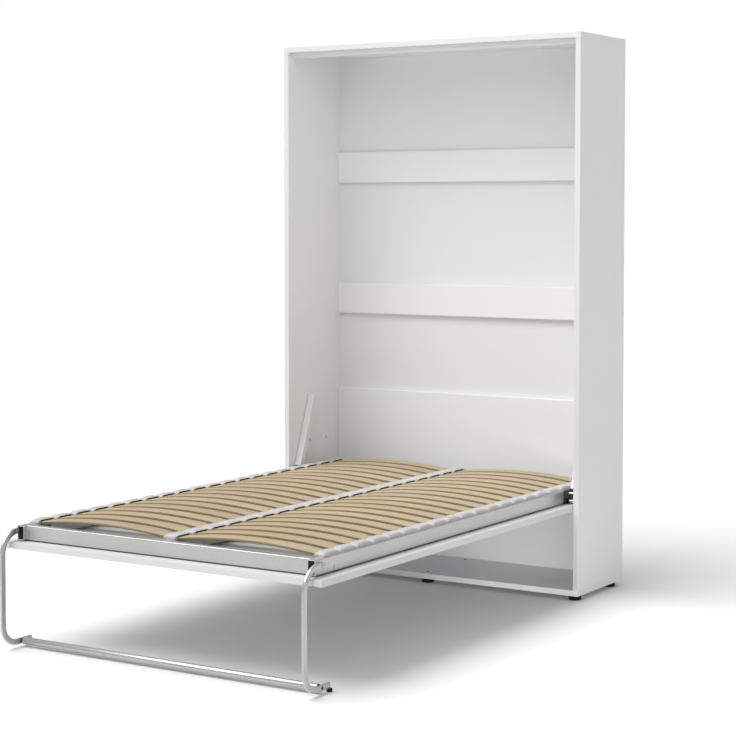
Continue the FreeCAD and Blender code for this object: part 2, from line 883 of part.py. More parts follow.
def build_bed():
    slat = slat_right(0)
    side_holder_right = side_holder(slat)
    holders_right = in_rows(side_holder_right)
    holders_centre = in_rows(centre_holder(slat))
    slats = in_rows(slat)
    plate_bolts = lift_plate_bolts()
    studs = lever_studs()
    bushes = hinge_bushes()
    pivots = leg_pivot_bolts()
    clamp_fixings = both_sides([clamp_bolt(y) for y in clamp_rows()])
    door_screws = clamp_screws()
    clamps = both_sides([frame_clamp(y, clamp_fixings + door_screws) for y in clamp_rows()])
    nuts = both_sides([clamp_nut(y) for y in clamp_rows()])
    rail = side_rail_right(holders_right + plate_bolts + pivots + clamp_fixings)
    plate = lift_plate_right(plate_bolts + studs)
    return {
        "front_panel": front_panel(door_screws),
        "side_rail_left": mirrored(rail),
        "side_rail_right": rail,
        "foot_tube": tube_x(foot_tube_front, foot_tube_rear),
        "head_tube": tube_x(head_tube_front, rail_rear),
        "centre_rail": centre_rail(holders_centre),
        "rail_end_plugs": group(rail_end_plugs()),
        "frame_spacers": group(frame_spacers()),
        "frame_clamps": group(clamps),
        "clamp_bolts": group(clamp_fixings),
        "clamp_nuts": group(nuts),
        "clamp_screws": group(door_screws),
        "lift_plate_left": mirrored(plate),
        "lift_plate_right": plate,
        "lift_plate_bolts": group(plate_bolts),
        "lever_studs": group(studs),
        "hinge_bushes": group(bushes),
        "slat_holders_left": group([mirrored(holder) for holder in holders_right]),
        "slat_holders_right": group(holders_right),
        "slat_holders_centre": group(holders_centre),
        "slats_left": group([mirrored(one) for one in slats]),
        "slats_right": group(slats),
        "leg_pivot_bolts": group(pivots),
        "leg_pivot_nuts": group(leg_pivot_nuts(pivots)),
        "leg_washers": group(leg_washers(pivots)),
    }


def build_leg():
    glides = both_sides([glide()])
    screw = crossbar_screw()
    leg = leg_right(glides + [screw])
    return {
        "leg_left": mirrored(leg),
        "leg_right": leg,
        "leg_crossbar": leg_crossbar(),
        "crossbar_plugs": group(both_sides([crossbar_plug([screw])])),
        "crossbar_screws": group(both_sides([screw])),
        "leg_glides": group(glides),
    }


def build_springs():
    cover = spring_cover_right()
    cylinder = gas_cylinder_right()
    rod = gas_rod_right()
    return {
        "spring_cover_left": mirrored(cover),
        "spring_cover_right": cover,
        "gas_cylinder_left": mirrored(cylinder),
        "gas_cylinder_right": cylinder,
        "gas_rod_left": mirrored(rod),
        "gas_rod_right": rod,
    }


def main():
    os.makedirs("parts", exist_ok=True)
    nodes = {}
    for built in (build_cabinet(), build_bed(), build_leg(), build_springs()):
        nodes.update(built)
    for name, shape in nodes.items():
        moved(shape, 0, centre_shift, 0).exportStep("parts/" + name + ".step")


main()
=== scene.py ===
"""Looks of an open wall bed: white cabinet, silver frame, bowed beech slats and a folding leg.

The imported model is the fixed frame. Every piece made here is in metres in that frame and rides on a body.
"""
import json
import logging
import math
from dataclasses import dataclass
from enum import Enum
from itertools import product
from typing import Iterable, Sequence

import bmesh
import bpy
from bmesh.types import BMEdge, BMesh, BMFace, BMVert
from mathutils import Matrix, Vector


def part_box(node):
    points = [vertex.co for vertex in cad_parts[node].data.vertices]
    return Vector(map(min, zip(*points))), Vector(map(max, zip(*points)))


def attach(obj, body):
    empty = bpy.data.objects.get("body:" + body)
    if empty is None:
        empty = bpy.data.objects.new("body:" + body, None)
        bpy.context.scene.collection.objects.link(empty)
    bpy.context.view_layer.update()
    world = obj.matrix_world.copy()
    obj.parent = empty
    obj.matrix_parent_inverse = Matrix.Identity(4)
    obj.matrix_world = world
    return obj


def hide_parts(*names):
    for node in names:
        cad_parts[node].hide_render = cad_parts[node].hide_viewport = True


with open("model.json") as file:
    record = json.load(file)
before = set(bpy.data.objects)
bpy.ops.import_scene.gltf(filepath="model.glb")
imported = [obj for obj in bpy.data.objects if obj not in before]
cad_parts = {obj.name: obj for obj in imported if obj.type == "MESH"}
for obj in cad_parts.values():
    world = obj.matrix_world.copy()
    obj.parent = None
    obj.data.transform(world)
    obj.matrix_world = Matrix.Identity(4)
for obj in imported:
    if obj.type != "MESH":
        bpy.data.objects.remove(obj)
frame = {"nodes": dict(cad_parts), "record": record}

LOG = logging.getLogger("wall_bed")
Point = tuple[float, float, float]
Pair = tuple[float, float]
Socket = bpy.types.NodeSocket
Inputs = dict[str | int, object]
Material = bpy.types.Material
WHITE = (1.0, 1.0, 1.0, 1.0)

# Face marks that a finish reads, both painted shade: near black inside the slat holders' pockets, and a
# darker share on chosen faces of laminate
PAINTED_POCKET_SHADE = "hollow"
PAINTED_FACE_SHADE = "toned"

# Range in which most of a noise lies
NOISE_LOW, NOISE_HIGH = 0.3, 0.7

# Places of the sockets that a Mix node uses for colours
MIX_SHARE, MIX_FIRST, MIX_SECOND, MIX_RESULT = 0, 6, 7, 2

# Points nearer than this are one point
MERGE = 1e-6

# Share of a face's normal, and of an edge's length, from which it counts as lying along an axis
FACING = 0.9
ALONG = 0.99

# A limit of face area that shades a whole piece smooth, in square metres
ALL_SMOOTH = 1.0
UP = Vector((0, 0, 1))


class Body(Enum):
    """The bodies that pieces ride on."""

    CABINET = "cabinet"
    BED = "bed"
    LEG = "leg_frame"
    CYLINDER_LEFT = "cylinder_left"
    CYLINDER_RIGHT = "cylinder_right"


class Side(Enum):
    """The two sides of the bed, seen from its foot end."""

    LEFT = -1
    RIGHT = 1

    @property
    def word(self) -> str:
        """The side's name as node names spell it."""
        return self.name.lower()


# Materials


def grey(value: float, warm: float = 0.0) -> Point:
    """A linear grey, turned warm, or cool with a negative share."""
    return value * (1 + warm), value, value * (1 - warm)


class Tree:
    """A node tree, with short calls that add and join nodes."""

    def __init__(self, tree: bpy.types.NodeTree) -> None:
        """Takes over a node tree."""
        self.tree = tree

    def feed(self, node: bpy.types.Node, inputs: Inputs) -> None:
        """Joins sockets to a node's own sockets, and sets constant values on them.

        Args:
            node: The node.
            inputs: Another node's socket or a constant, by the name or place of its own socket.
        """
        for name, value in inputs.items():
            if isinstance(value, Socket):
                self.tree.links.new(value, node.inputs[name])
            else:
                node.inputs[name].default_value = value

    def node(self, kind: str, inputs: Inputs | None = None, **settings: object) -> bpy.types.Node:
        """Adds a node.

        Args:
            kind: Blender's type name of the node, without ShaderNode before it.
            inputs: What its sockets get, by name or place.
            **settings: Options such as operation or blend_type.

        Returns:
            The new node.
        """
        made = self.tree.nodes.new("ShaderNode" + kind)
        for option, value in settings.items():
            setattr(made, option, value)
        self.feed(made, inputs or {})
        return made

    def axes(self, vector: Socket) -> tuple[Socket, ...]:
        """The X, Y and Z of a vector."""
        return tuple(self.node("SeparateXYZ", {"Vector": vector}).outputs)

    def stretched(self, vector: Socket, scale: Point) -> Socket:
        """A vector whose pattern is stretched along each axis."""
        return self.node("Mapping", {"Vector": vector, "Scale": scale}).outputs["Vector"]

    def coords(self, scale: Point = (1.0, 1.0, 1.0)) -> Socket:
        """Object coordinates, stretched along each axis."""
        return self.stretched(self.node("TexCoord").outputs["Object"], scale)

    def noise(self, vector: Socket, scale: float, detail: float = 3.0, rough: float = 0.5) -> Socket:
        """Noise with so many cells to the metre and octaves, and a weight of the finer octaves."""
        inputs = {"Vector": vector, "Scale": scale, "Detail": detail, "Roughness": rough}
        return self.node("TexNoise", inputs).outputs["Fac"]

    def ramp(self, factor: Socket, *stops: tuple[float, Point]) -> Socket:
        """Colours along a factor.

        Args:
            factor: The factor from 0 to 1.
            *stops: Places and linear colours, from low to high.

        Returns:
            The colour socket.
        """
        made = self.node("ValToRGB", {"Fac": factor})
        points = made.color_ramp.elements
        while len(points) < len(stops):
            points.new(0.5)
        for point, (place, colour) in zip(points, stops):
            point.position = place
            point.color = (*colour, 1.0)
        return made.outputs["Color"]

    def drift(self, factor: Socket, low: Point, high: Point) -> Socket:
        """Two colours that change into each other over the range of a noise."""
        return self.ramp(factor, (NOISE_LOW, low), (NOISE_HIGH, high))

    def spread(self, factor: Socket, low: float, high: float, ends: Pair = (NOISE_LOW, NOISE_HIGH)) -> Socket:
        """A factor spread from low to high between the two ends of its range."""
        inputs = {"Value": factor, "From Min": ends[0], "From Max": ends[1], "To Min": low, "To Max": high}
        return self.node("MapRange", inputs).outputs["Result"]

    def math(self, operation: str, first: Socket, second: Socket | float = 0.0) -> Socket:
        """Two numbers joined by a Math node's operation."""
        return self.node("Math", {0: first, 1: second}, operation=operation).outputs["Value"]

    def blend(self, share: Socket, first: Socket, second: Socket, mode: str = "MIX") -> Socket:
        """Two colours mixed by the second one's share."""
        inputs = {MIX_SHARE: share, MIX_FIRST: first, MIX_SECOND: second}
        return self.node("Mix", inputs, data_type="RGBA", blend_type=mode).outputs[MIX_RESULT]

    def marked(self, mark: str, plain: Socket, other: Socket) -> Socket:
        """Another colour on marked faces, by the share that the mark holds."""
        made = self.node("Attribute", attribute_type="GEOMETRY", attribute_name=mark)
        return self.blend(made.outputs["Fac"], plain, other)

    def bump(self, height: Socket, depth: float, strength: float = 0.5) -> Socket:
        """The normal of a surface that is raised by a height, up to a depth in metres."""
        inputs = {"Height": height, "Distance": depth, "Strength": strength}
        return self.node("Bump", inputs).outputs["Normal"]


class NodeSheet(Tree):
    """The node tree of a new material with one shader."""

    def __init__(self, name: str) -> None:
        """Starts the material.

        Args:
            name: The material's name.
        """
        self.material = bpy.data.materials.new(name)
        self.material.use_nodes = True
        super().__init__(self.material.node_tree)
        self.tree.nodes.clear()
        self.shader = self.node("BsdfPrincipled")
        self.node("OutputMaterial", {"Surface": self.shader.outputs["BSDF"]})

    def finish(self, inputs: Inputs) -> Material:
        """Gives the shader what its sockets get and hands the material over."""
        self.feed(self.shader, inputs)
        return self.material


@dataclass(frozen=True)
class Laminate:
    """Smooth melamine laminate on board, with a faint pearl texture and soft handling marks."""

    slot: str
    shade: float
    warm: float = 0.0
    pearl_cells: float = 900.0
    cloud_cells: float = 2.6
    depth: float = 0.00003

    def build(self) -> Material:
        """Makes the material. Marked faces are darker by their share: painted shade.

        Returns:
            The material.
        """
        sheet = NodeSheet(self.slot)
        pearl = sheet.noise(sheet.coords(), self.pearl_cells, 2.0)
        cloud = sheet.noise(sheet.coords(), self.cloud_cells, 4.0, 0.55)
        tone = sheet.drift(cloud, grey(self.shade * 0.985, self.warm), grey(self.shade, self.warm))
        fleck = sheet.ramp(pearl, (0.35, grey(0.97)), (0.65, grey(1.0)))
        board = sheet.blend(sheet.spread(pearl, 0.9, 1.0), tone, fleck, "MULTIPLY")
        # Painted shade: marked faces are mixed towards near black by their share
        return sheet.finish({
            "Base Color": sheet.marked(PAINTED_FACE_SHADE, board, sheet.drift(pearl, grey(0.01), grey(0.02))),
            "Roughness": sheet.spread(cloud, 0.42, 0.5),
            "Normal": sheet.bump(pearl, self.depth),
            "Specular IOR Level": 0.4,
        })


@dataclass(frozen=True)
class PowderCoat:
    """Silver or dark powder coat on steel: fine sparkle, slight orange peel."""

    slot: str
    shade: float
    metallic: float
    rough: float = 0.42
    sparkle_cells: float = 2400.0
    peel_cells: float = 420.0
    drift_cells: float = 5.0
    depth: float = 0.00004

    def build(self) -> Material:
        """Makes the material.

        Returns:
            The material.
        """
        sheet = NodeSheet(self.slot)
        sparkle = sheet.noise(sheet.coords(), self.sparkle_cells, 2.0)
        peel = sheet.noise(sheet.coords(), self.peel_cells)
        drift = sheet.noise(sheet.coords(), self.drift_cells)
        base = sheet.drift(drift, grey(self.shade * 0.95), grey(self.shade * 1.03))
        glint = sheet.ramp(sparkle, (0.3, grey(0.88)), (0.6, grey(1.0)), (0.75, grey(1.08)))
        return sheet.finish({
            "Base Color": sheet.blend(sheet.spread(sparkle, 0.7, 1.0), base, glint, "MULTIPLY"),
            "Roughness": sheet.spread(peel, self.rough * 0.88, self.rough * 1.12),
            "Normal": sheet.bump(peel, self.depth),
            "Metallic": self.metallic,
        })


@dataclass(frozen=True)
class PlatedSteel:
    """Zinc, chrome or black plating on small steel parts, with fine turned lines."""

    slot: str
    shade: float
    rough: float
    lines: Point = (300.0, 60.0, 2200.0)
    stain_cells: float = 140.0
    depth: float = 0.00002

    def build(self) -> Material:
        """Makes the material.

        Returns:
            The material.
        """
        sheet = NodeSheet(self.slot)
        lines = sheet.noise(sheet.coords(self.lines), 1.0)
        stain = sheet.noise(sheet.coords(), self.stain_cells)
        return sheet.finish({
            "Base Color": sheet.drift(stain, grey(self.shade * 0.88), grey(self.shade, -0.01)),
            "Roughness": sheet.spread(lines, self.rough * 0.75, self.rough * 1.25),
            "Normal": sheet.bump(lines, self.depth),
            "Metallic": 1.0,
        })


@dataclass(frozen=True)
class MouldedPlastic:
    """Moulded plastic or rubber, or the paint of a gas spring, with a fine grain and a soft sheen."""

    slot: str
    low: Point
    high: Point
    rough: float = 0.45
    grain: float = 1500.0
    glow: float = 0.0
    sheen: float = 0.5
    flow: Point = (14.0, 30.0, 14.0)
    depth: float = 0.00005

    def build(self) -> Material:
        """Makes the material. Faces marked for painted pocket shade are nearly black: painted shade inside
        the holders' pockets.

        Returns:
            The material.
        """
        sheet = NodeSheet(self.slot)
        grain = sheet.noise(sheet.coords(), self.grain, 2.0)
        skin = sheet.drift(sheet.noise(sheet.coords(self.flow), 1.0), self.low, self.high)
        glow = {"Subsurface Weight": self.glow, "Subsurface Radius": (0.006, 0.005, 0.006)}
        return sheet.finish({
            # Painted shade: marked faces inside the holders' pockets go nearly black
            "Base Color": sheet.marked(PAINTED_POCKET_SHADE, skin, sheet.drift(grain, grey(0.008), grey(0.016))),
            "Roughness": sheet.spread(grain, self.rough * 0.85, self.rough * 1.15),
            "Normal": sheet.bump(grain, self.depth),
            "Specular IOR Level": self.sheen,
        } | (glow if self.glow else {}))


@dataclass(frozen=True)
class BeechPly:
    """Bent beech plywood: long straight streaks, short dark flecks, each slat a shade of its own."""

    slot: str
    pale: Point = (0.41, 0.328, 0.205)
    dark: Point = (0.32, 0.243, 0.138)
    pitch: float = 0.0975
    first: float = -0.919
    ply: float = 0.0016
    streak: Point = (2.2, 190.0, 60.0)
    fleck: Point = (60.0, 900.0, 300.0)
    half_step: float = 37.0
    shift: float = 9.0
    tints: tuple[tuple[float, Point], ...] = (
        (0.0, (0.93, 0.9, 0.84)), (0.3, (1.02, 1.02, 0.9)), (0.55, (0.98, 0.94, 0.93)),
        (0.8, (1.04, 0.98, 0.98)), (1.0, (1.07, 1.07, 1.0)),
    )

    def build(self) -> Material:
        """Makes the material.

        Returns:
            The material.
        """
        sheet = NodeSheet(self.slot)
        x, y, z = sheet.axes(sheet.coords())
        along = sheet.math("ADD", y, self.pitch / 2 - self.first)
        row = sheet.math("FLOOR", sheet.math("DIVIDE", along, self.pitch))
        half = sheet.math("MULTIPLY", sheet.math("GREATER_THAN", x), self.half_step)
        number = {"W": sheet.math("ADD", row, half)}
        own = sheet.node("TexWhiteNoise", number, noise_dimensions="1D").outputs["Value"]
        shifted_x = sheet.math("ADD", x, sheet.math("MULTIPLY", own, self.shift))
        place = sheet.node("CombineXYZ", {"X": shifted_x, "Y": y, "Z": z}).outputs["Vector"]
        streaks = sheet.noise(sheet.stretched(place, self.streak), 1.0, 5.0, 0.6)
        flecks = sheet.noise(sheet.stretched(place, self.fleck), 1.0, 2.0)
        bright = tuple(c * 1.06 for c in self.pale)
        wood = sheet.ramp(streaks, (0.25, self.dark), (0.5, self.pale), (0.8, bright))
        pores = sheet.ramp(flecks, (0.26, grey(0.72, 0.06)), (0.36, grey(1.0)))
        full = sheet.spread(streaks, 0.85, 1.0)
        grained = sheet.blend(full, wood, pores, "MULTIPLY")
        tinted = sheet.blend(full, grained, sheet.ramp(own, *self.tints), "MULTIPLY")
        return sheet.finish({
            "Base Color": sheet.blend(self.edge_share(sheet), tinted, self.ply_lines(sheet, z, flecks)),
            "Roughness": sheet.spread(streaks, 0.42, 0.56),
            "Normal": sheet.bump(flecks, 0.00008, 0.4),
            "Coat Weight": 0.1,
            "Coat Roughness": 0.4,
        })

    def edge_share(self, sheet: NodeSheet) -> Socket:
        """How far a face looks along the bed: 1 on the long edges of a slat."""
        way = sheet.axes(sheet.node("TexCoord").outputs["Normal"])[1]
        return sheet.spread(sheet.math("MULTIPLY", way, way), 0.0, 1.0, (0.3, 0.8))

    def ply_lines(self, sheet: NodeSheet, z: Socket, flecks: Socket) -> Socket:
        """The brown layers seen on a slat's edge.

        Args:
            sheet: The material's nodes.
            z: The height.
            flecks: A fine noise that makes the lines wavy.

        Returns:
            The colour.
        """
        layer = sheet.math("DIVIDE", sheet.math("PINGPONG", z, self.ply), self.ply)
        wavy = sheet.math("ADD", layer, sheet.math("MULTIPLY", flecks, 0.4))
        brown = (self.pale[0] * 0.62, self.pale[1] * 0.55, self.pale[2] * 0.46)
        return sheet.ramp(wavy, (0.3, brown), (0.9, tuple(c * 0.86 for c in self.pale)))


def all_finishes() -> dict[str, Material]:
    """Makes one material for each slot of the record.

    Returns:
        The materials by slot name.
    """
    made = [
        Laminate("white_board", 0.86, -0.005),
        Laminate("back_board", 0.81, -0.012),
        # Painted shade: the door board is the cabinet's white laminate drawn darker, standing in for the
        # shade that falls on it under the bed frame
        Laminate("door_board", 0.71),
        BeechPly("slat_beech"),
        BeechPly("dowel_wood", (0.55, 0.4, 0.24), (0.45, 0.31, 0.17)),
        PowderCoat("frame_silver", 0.56, 0.7, 0.3),
        # Partly painted shade: the near-black brackets, and the near-black bolts two lines below, also stand
        # in for the shade in the hinge corner
        PowderCoat("bracket_steel", 0.05, 0.45),
        PlatedSteel("zinc_steel", 0.7, 0.32),
        PlatedSteel("black_steel", 0.05, 0.4),
        PlatedSteel("rod_chrome", 0.78, 0.1),
        MouldedPlastic("cover_white", grey(0.78), grey(0.82)),
        MouldedPlastic("white_plastic", (0.445, 0.431, 0.437), (0.502, 0.492, 0.478), 0.38, glow=0.1),
        MouldedPlastic("black_plastic", grey(0.006), grey(0.012), 0.62, sheen=0.2),
        MouldedPlastic("black_rubber", grey(0.012), grey(0.02), 0.8, 900.0, sheen=0.2),
        MouldedPlastic("cylinder_black", grey(0.02), grey(0.03), 0.25, 700.0),
    ]
    return {finish.slot: finish.build() for finish in made}


# Mesh work


def centre_of(low: Vector, high: Vector) -> Vector:
    """The middle of a box."""
    return (low + high) / 2


def box_mesh(low: Vector, high: Vector) -> BMesh:
    """A box between two corners.

    Args:
        low: The lowest corner.
        high: The highest corner.

    Returns:
        The new mesh.
    """
    mesh = bmesh.new()
    place = Matrix.Translation(centre_of(low, high)) @ Matrix.Diagonal((*(high - low), 1.0))
    bmesh.ops.create_cube(mesh, size=1.0, matrix=place)
    return mesh


def merged_copy(node: str) -> BMesh:
    """Copies a CAD node's mesh and merges its doubled points.

    Args:
        node: The node's name.

    Returns:
        The copy.
    """
    mesh = bmesh.new()
    mesh.from_mesh(frame["nodes"][node].data)
    bmesh.ops.remove_doubles(mesh, verts=mesh.verts[:], dist=MERGE)
    return mesh


def face_out(mesh: BMesh) -> None:
    """Turns every face of a closed mesh outwards."""
    bmesh.ops.recalc_face_normals(mesh, faces=mesh.faces[:])


def bend_of(edge: BMEdge) -> float:
    """The angle between an edge's two faces, or 0 at a border."""
    return edge.calc_face_angle(0.0) if len(edge.link_faces) == 2 else 0.0


def faces_at(mesh: BMesh) -> list[tuple[BMFace, Vector]]:
    """All faces of a mesh with their middles."""
    return [(face, face.calc_center_median()) for face in mesh.faces]


def runs_along(edge: BMEdge, axis: int) -> bool:
    """True where an edge lies along an axis."""
    line = edge.verts[1].co - edge.verts[0].co
    return abs(line[axis]) > ALONG * line.length


def soften(
    mesh: BMesh, radius: float, segments: int = 2, axis: int | None = None, limit: float = 0.6,
) -> None:
    """Rounds the sharp edges.

    Args:
        mesh: The mesh to change.
        radius: The rounding's width.
        segments: Faces across the rounding.
        axis: The axis along which the edges run, or None for all edges.
        limit: Smallest bend that counts as sharp, in radians.
    """
    edges = [e for e in mesh.edges if bend_of(e) > limit and (axis is None or runs_along(e, axis))]
    bmesh.ops.bevel(
        mesh, geom=edges, offset=radius, offset_type="OFFSET", segments=segments,
        profile=0.5, affect="EDGES", clamp_overlap=True, material=-1,
    )


def turned(profile: Sequence[Pair], centre: Vector, axis: Vector = UP, steps: int = 32) -> BMesh:
    """A turned solid.

    Args:
        profile: Radius and height of each point, from one pole to the other.
        centre: The point at height zero.
        axis: The direction in which heights grow.
        steps: Faces round the axis.

    Returns:
        The new mesh.
    """
    mesh = bmesh.new()
    verts = [mesh.verts.new((radius, 0.0, height)) for radius, height in profile]
    edges = [mesh.edges.new(pair) for pair in zip(verts, verts[1:])]
    bmesh.ops.spin(
        mesh, geom=verts + edges, cent=(0, 0, 0), axis=(0, 0, 1), angle=2 * math.pi, steps=steps,
        use_merge=True,
    )
    bmesh.ops.remove_doubles(mesh, verts=mesh.verts[:], dist=MERGE)
    face_out(mesh)
    turn = axis.to_track_quat("Z", "Y").to_matrix().to_4x4()
    bmesh.ops.transform(mesh, matrix=Matrix.Translation(centre) @ turn, verts=mesh.verts[:])
    return mesh


def joined(meshes: Iterable[BMesh]) -> BMesh:
    """Puts several meshes into one and frees them.

    Args:
        meshes: The meshes.

    Returns:
        The joined mesh.
    """
    result = bmesh.new()
    for mesh in meshes:
        carrier = bpy.data.meshes.new("carrier")
        mesh.to_mesh(carrier)
        mesh.free()
        result.from_mesh(carrier)
        bpy.data.meshes.remove(carrier)
    return result


def drawn_out(
    mesh: BMesh, faces: list[BMFace], way: Vector, keep: bool = False,
) -> tuple[list[BMFace], list[BMVert]]:
    """Moves faces along a way, with walls behind them and nothing left at the start.

    Args:
        mesh: The mesh.
        faces: The faces.
        way: How far they move.
        keep: True where the faces stay at the start as well.

    Returns:
        The moved faces and their vertices.
    """
    grown = bmesh.ops.extrude_face_region(mesh, geom=faces, use_keep_orig=keep)["geom"]
    if not keep:
        bmesh.ops.delete(mesh, geom=[f for f in faces if f.is_valid], context="FACES_ONLY")
    verts = [g for g in grown if isinstance(g, BMVert)]
    bmesh.ops.translate(mesh, vec=way, verts=verts)
    return [g for g in grown if isinstance(g, BMFace)], verts


def plate(outline: Iterable[Vector], way: Vector) -> BMesh:
    """A flat closed plate.

    Args:
        outline: The points round its first face.
        way: Direction and depth of its thickness.

    Returns:
        The new mesh.
    """
    mesh = bmesh.new()
    face = mesh.faces.new([mesh.verts.new(point) for point in outline])
    drawn_out(mesh, [face], way, True)
    face_out(mesh)
    return mesh


def tone(mesh: BMesh, way: Vector, share: float) -> None:
    """Marks the faces that look one way for painted shade, which draws the laminate darker there.

    Args:
        mesh: The board's mesh.
        way: The direction in which the faces look.
        share: How much darker they are, from 0 to 1.
    """
    layer = mesh.faces.layers.float.new(PAINTED_FACE_SHADE)
    mesh.normal_update()
    for face in mesh.faces:
        if face.normal.dot(way) > FACING:
            face[layer] = share


def flipped_x(mesh: BMesh) -> BMesh:
    """Mirrors a mesh to the other side of the bed.

    Args:
        mesh: The mesh, which is changed.

    Returns:
        The same mesh.
    """
    bmesh.ops.transform(mesh, matrix=Matrix.Diagonal((-1.0, 1.0, 1.0, 1.0)), verts=mesh.verts[:])
    bmesh.ops.reverse_faces(mesh, faces=mesh.faces[:])
    return mesh


def solid_boxes(node: str) -> list[tuple[Vector, Vector]]:
    """Finds the separate solids of a CAD node.

    Args:
        node: The node's name.

    Returns:
        The lowest and highest corner of each solid.
    """
    mesh = merged_copy(node)
    left, boxes = set(mesh.verts), []
    while left:
        front, island = [left.pop()], []
        while front:
            vert = front.pop()
            island.append(vert.co.copy())
            near = {edge.other_vert(vert) for edge in vert.link_edges} & left
            left -= near
            front.extend(near)
        boxes.append(tuple(Vector([pick(co[i] for co in island) for i in range(3)]) for pick in (min, max)))
    mesh.free()
    return sorted(boxes, key=lambda box: tuple(box[0]))


class Workshop:
    """Turns meshes into finished pieces, and dresses the CAD nodes that stay."""

    def __init__(self) -> None:
        """Makes the finishes and reads each node's slot."""
        self.finishes = all_finishes()
        self.slots = {row["node"]: row["material_slot"] for row in frame["record"]["subparts"]}
        self.stood_for: set[str] = set()

    def piece(
        self, name: str, mesh: BMesh, body: Body, node: str = "", flat_over: float = 0.0002,
        crease: float = 0.7, slot: str = "",
    ) -> None:
        """Finishes a piece.

        Args:
            name: The piece's name.
            mesh: Its mesh, in the part's frame.
            body: The body it rides on.
            node: The CAD node that it stands for, or nothing.
            flat_over: Faces over this area are shaded flat, in square metres.
            crease: Bend over which an edge is shaded sharp, in radians.
            slot: The record's material slot, or nothing for the node's own.
        """
        slot = slot or self.slots[node]
        for face in mesh.faces:
            face.smooth = face.calc_area() < flat_over
        for edge in mesh.edges:
            edge.smooth = bend_of(edge) < crease
        data = bpy.data.meshes.new(name)
        mesh.to_mesh(data)
        mesh.free()
        data.materials.append(self.finishes[slot])
        made = bpy.data.objects.new(name, data)
        bpy.context.scene.collection.objects.link(made)
        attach(made, body.value)
        if node:
            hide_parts(node)
            self.stood_for.add(node)
        LOG.info("%s: %d faces on %s", name, len(data.polygons), body.value)

    def dress_nodes(self) -> None:
        """Gives every CAD node its slot's material, and logs each node that no piece stands for."""
        for name, node in frame["nodes"].items():
            node.data.materials.clear()
            node.data.materials.append(self.finishes[self.slots[name]])
            if name not in self.stood_for:
                LOG.info("CAD node %s stays, finish %s", name, self.slots[name])


# Cabinet


@dataclass
class Cabinet:
    """The carcass on its feet."""

    shop: Workshop
    edge: float = 0.001
    foot_side: float = 0.652
    foot_middle: float = -0.008
    foot_rows: Pair = (0.7355, 1.0435)
    # Painted shade on the boards' front edges, as a share towards black
    edge_tone: float = 0.16
    foot_steps: int = 40
    foot_crease: float = 0.9
    cap_steps: int = 24
    # Boards whose front edges get the painted shade
    banded: tuple[str, ...] = ("side_panel_left", "side_panel_right", "top_panel", "top_batten")
    plain: tuple[str, ...] = ("bottom_panel", "upper_back_rail", "middle_back_rail", "lower_back_board")
    foot: tuple[Pair, ...] = (
        (0.0, 0.0), (0.0215, 0.0), (0.0238, 0.0006), (0.025, 0.0024), (0.025, 0.006), (0.0236, 0.0068),
        (0.0236, 0.0078), (0.025, 0.0086), (0.025, 0.0124), (0.0243, 0.0138), (0.019, 0.0156),
        (0.019, 0.02), (0.0, 0.02),
    )
    cap: tuple[Pair, ...] = (
        (0.0, -0.0025), (0.0026, -0.0025), (0.0026, 0.0), (0.0052, 0.0), (0.006, -0.0006), (0.006, -0.004),
        (0.0, -0.004),
    )

    def build(self) -> None:
        """Builds the boards, the feet and the adjusters. The front edges are a little darker: painted shade.
        """
        for node in self.banded + self.plain:
            mesh = box_mesh(*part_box(node))
            soften(mesh, self.edge)
            if node in self.banded:
                # Painted shade: the front edges are drawn darker
                tone(mesh, Vector((0, -1, 0)), self.edge_tone)
            self.shop.piece(node + "_board", mesh, Body.CABINET, node)
        self.feet()
        self.adjusters()

    def feet(self) -> None:
        """Round levelling feet: a ribbed pad with a rounded foot and a collar under the board."""
        feet = joined(
            turned(self.foot, Vector((x, y, 0.0)), steps=self.foot_steps)
            for x, y in product((-self.foot_side, self.foot_middle, self.foot_side), self.foot_rows)
        )
        self.shop.piece("levelling_feet", feet, Body.CABINET, "cabinet_feet", ALL_SMOOTH, self.foot_crease)

    def adjusters(self) -> None:
        """Caps over the adjusting holes of the middle feet, each with a socket."""
        caps = []
        for low, high in solid_boxes("foot_adjusters"):
            place = centre_of(low, high)
            place.z = high.z
            caps.append(turned(self.cap, place, steps=self.cap_steps))
        self.shop.piece("adjuster_caps", joined(caps), Body.CABINET, "foot_adjusters", ALL_SMOOTH)


@dataclass
class SpringUnits:
    """The lift mechanism on each side: the spring's cover, the wall bracket and the lift plate."""

    shop: Workshop
    edge: float = 0.0009
    level: float = 0.01

    def build(self) -> None:
        """Rounds the covers, brackets and lift plates on both sides. A cover rides on its gas cylinder."""
        for side, swinging in ((Side.LEFT, Body.CYLINDER_LEFT), (Side.RIGHT, Body.CYLINDER_RIGHT)):
            kinds = (
                ("spring_cover_", "lift_cover_", swinging, self.edge),
                ("wall_bracket_", "hinge_bracket_", Body.CABINET, self.edge / 2),
                ("lift_plate_", "rail_lift_plate_", Body.BED, self.edge / 2),
            )
            for node, name, body, edge in kinds:
                mesh = merged_copy(node + side.word)
                bmesh.ops.dissolve_limit(
                    mesh, angle_limit=self.level, verts=mesh.verts[:], edges=mesh.edges[:],
                )
                soften(mesh, edge)
                self.shop.piece(name + side.word, mesh, body, node + side.word)


# Bed


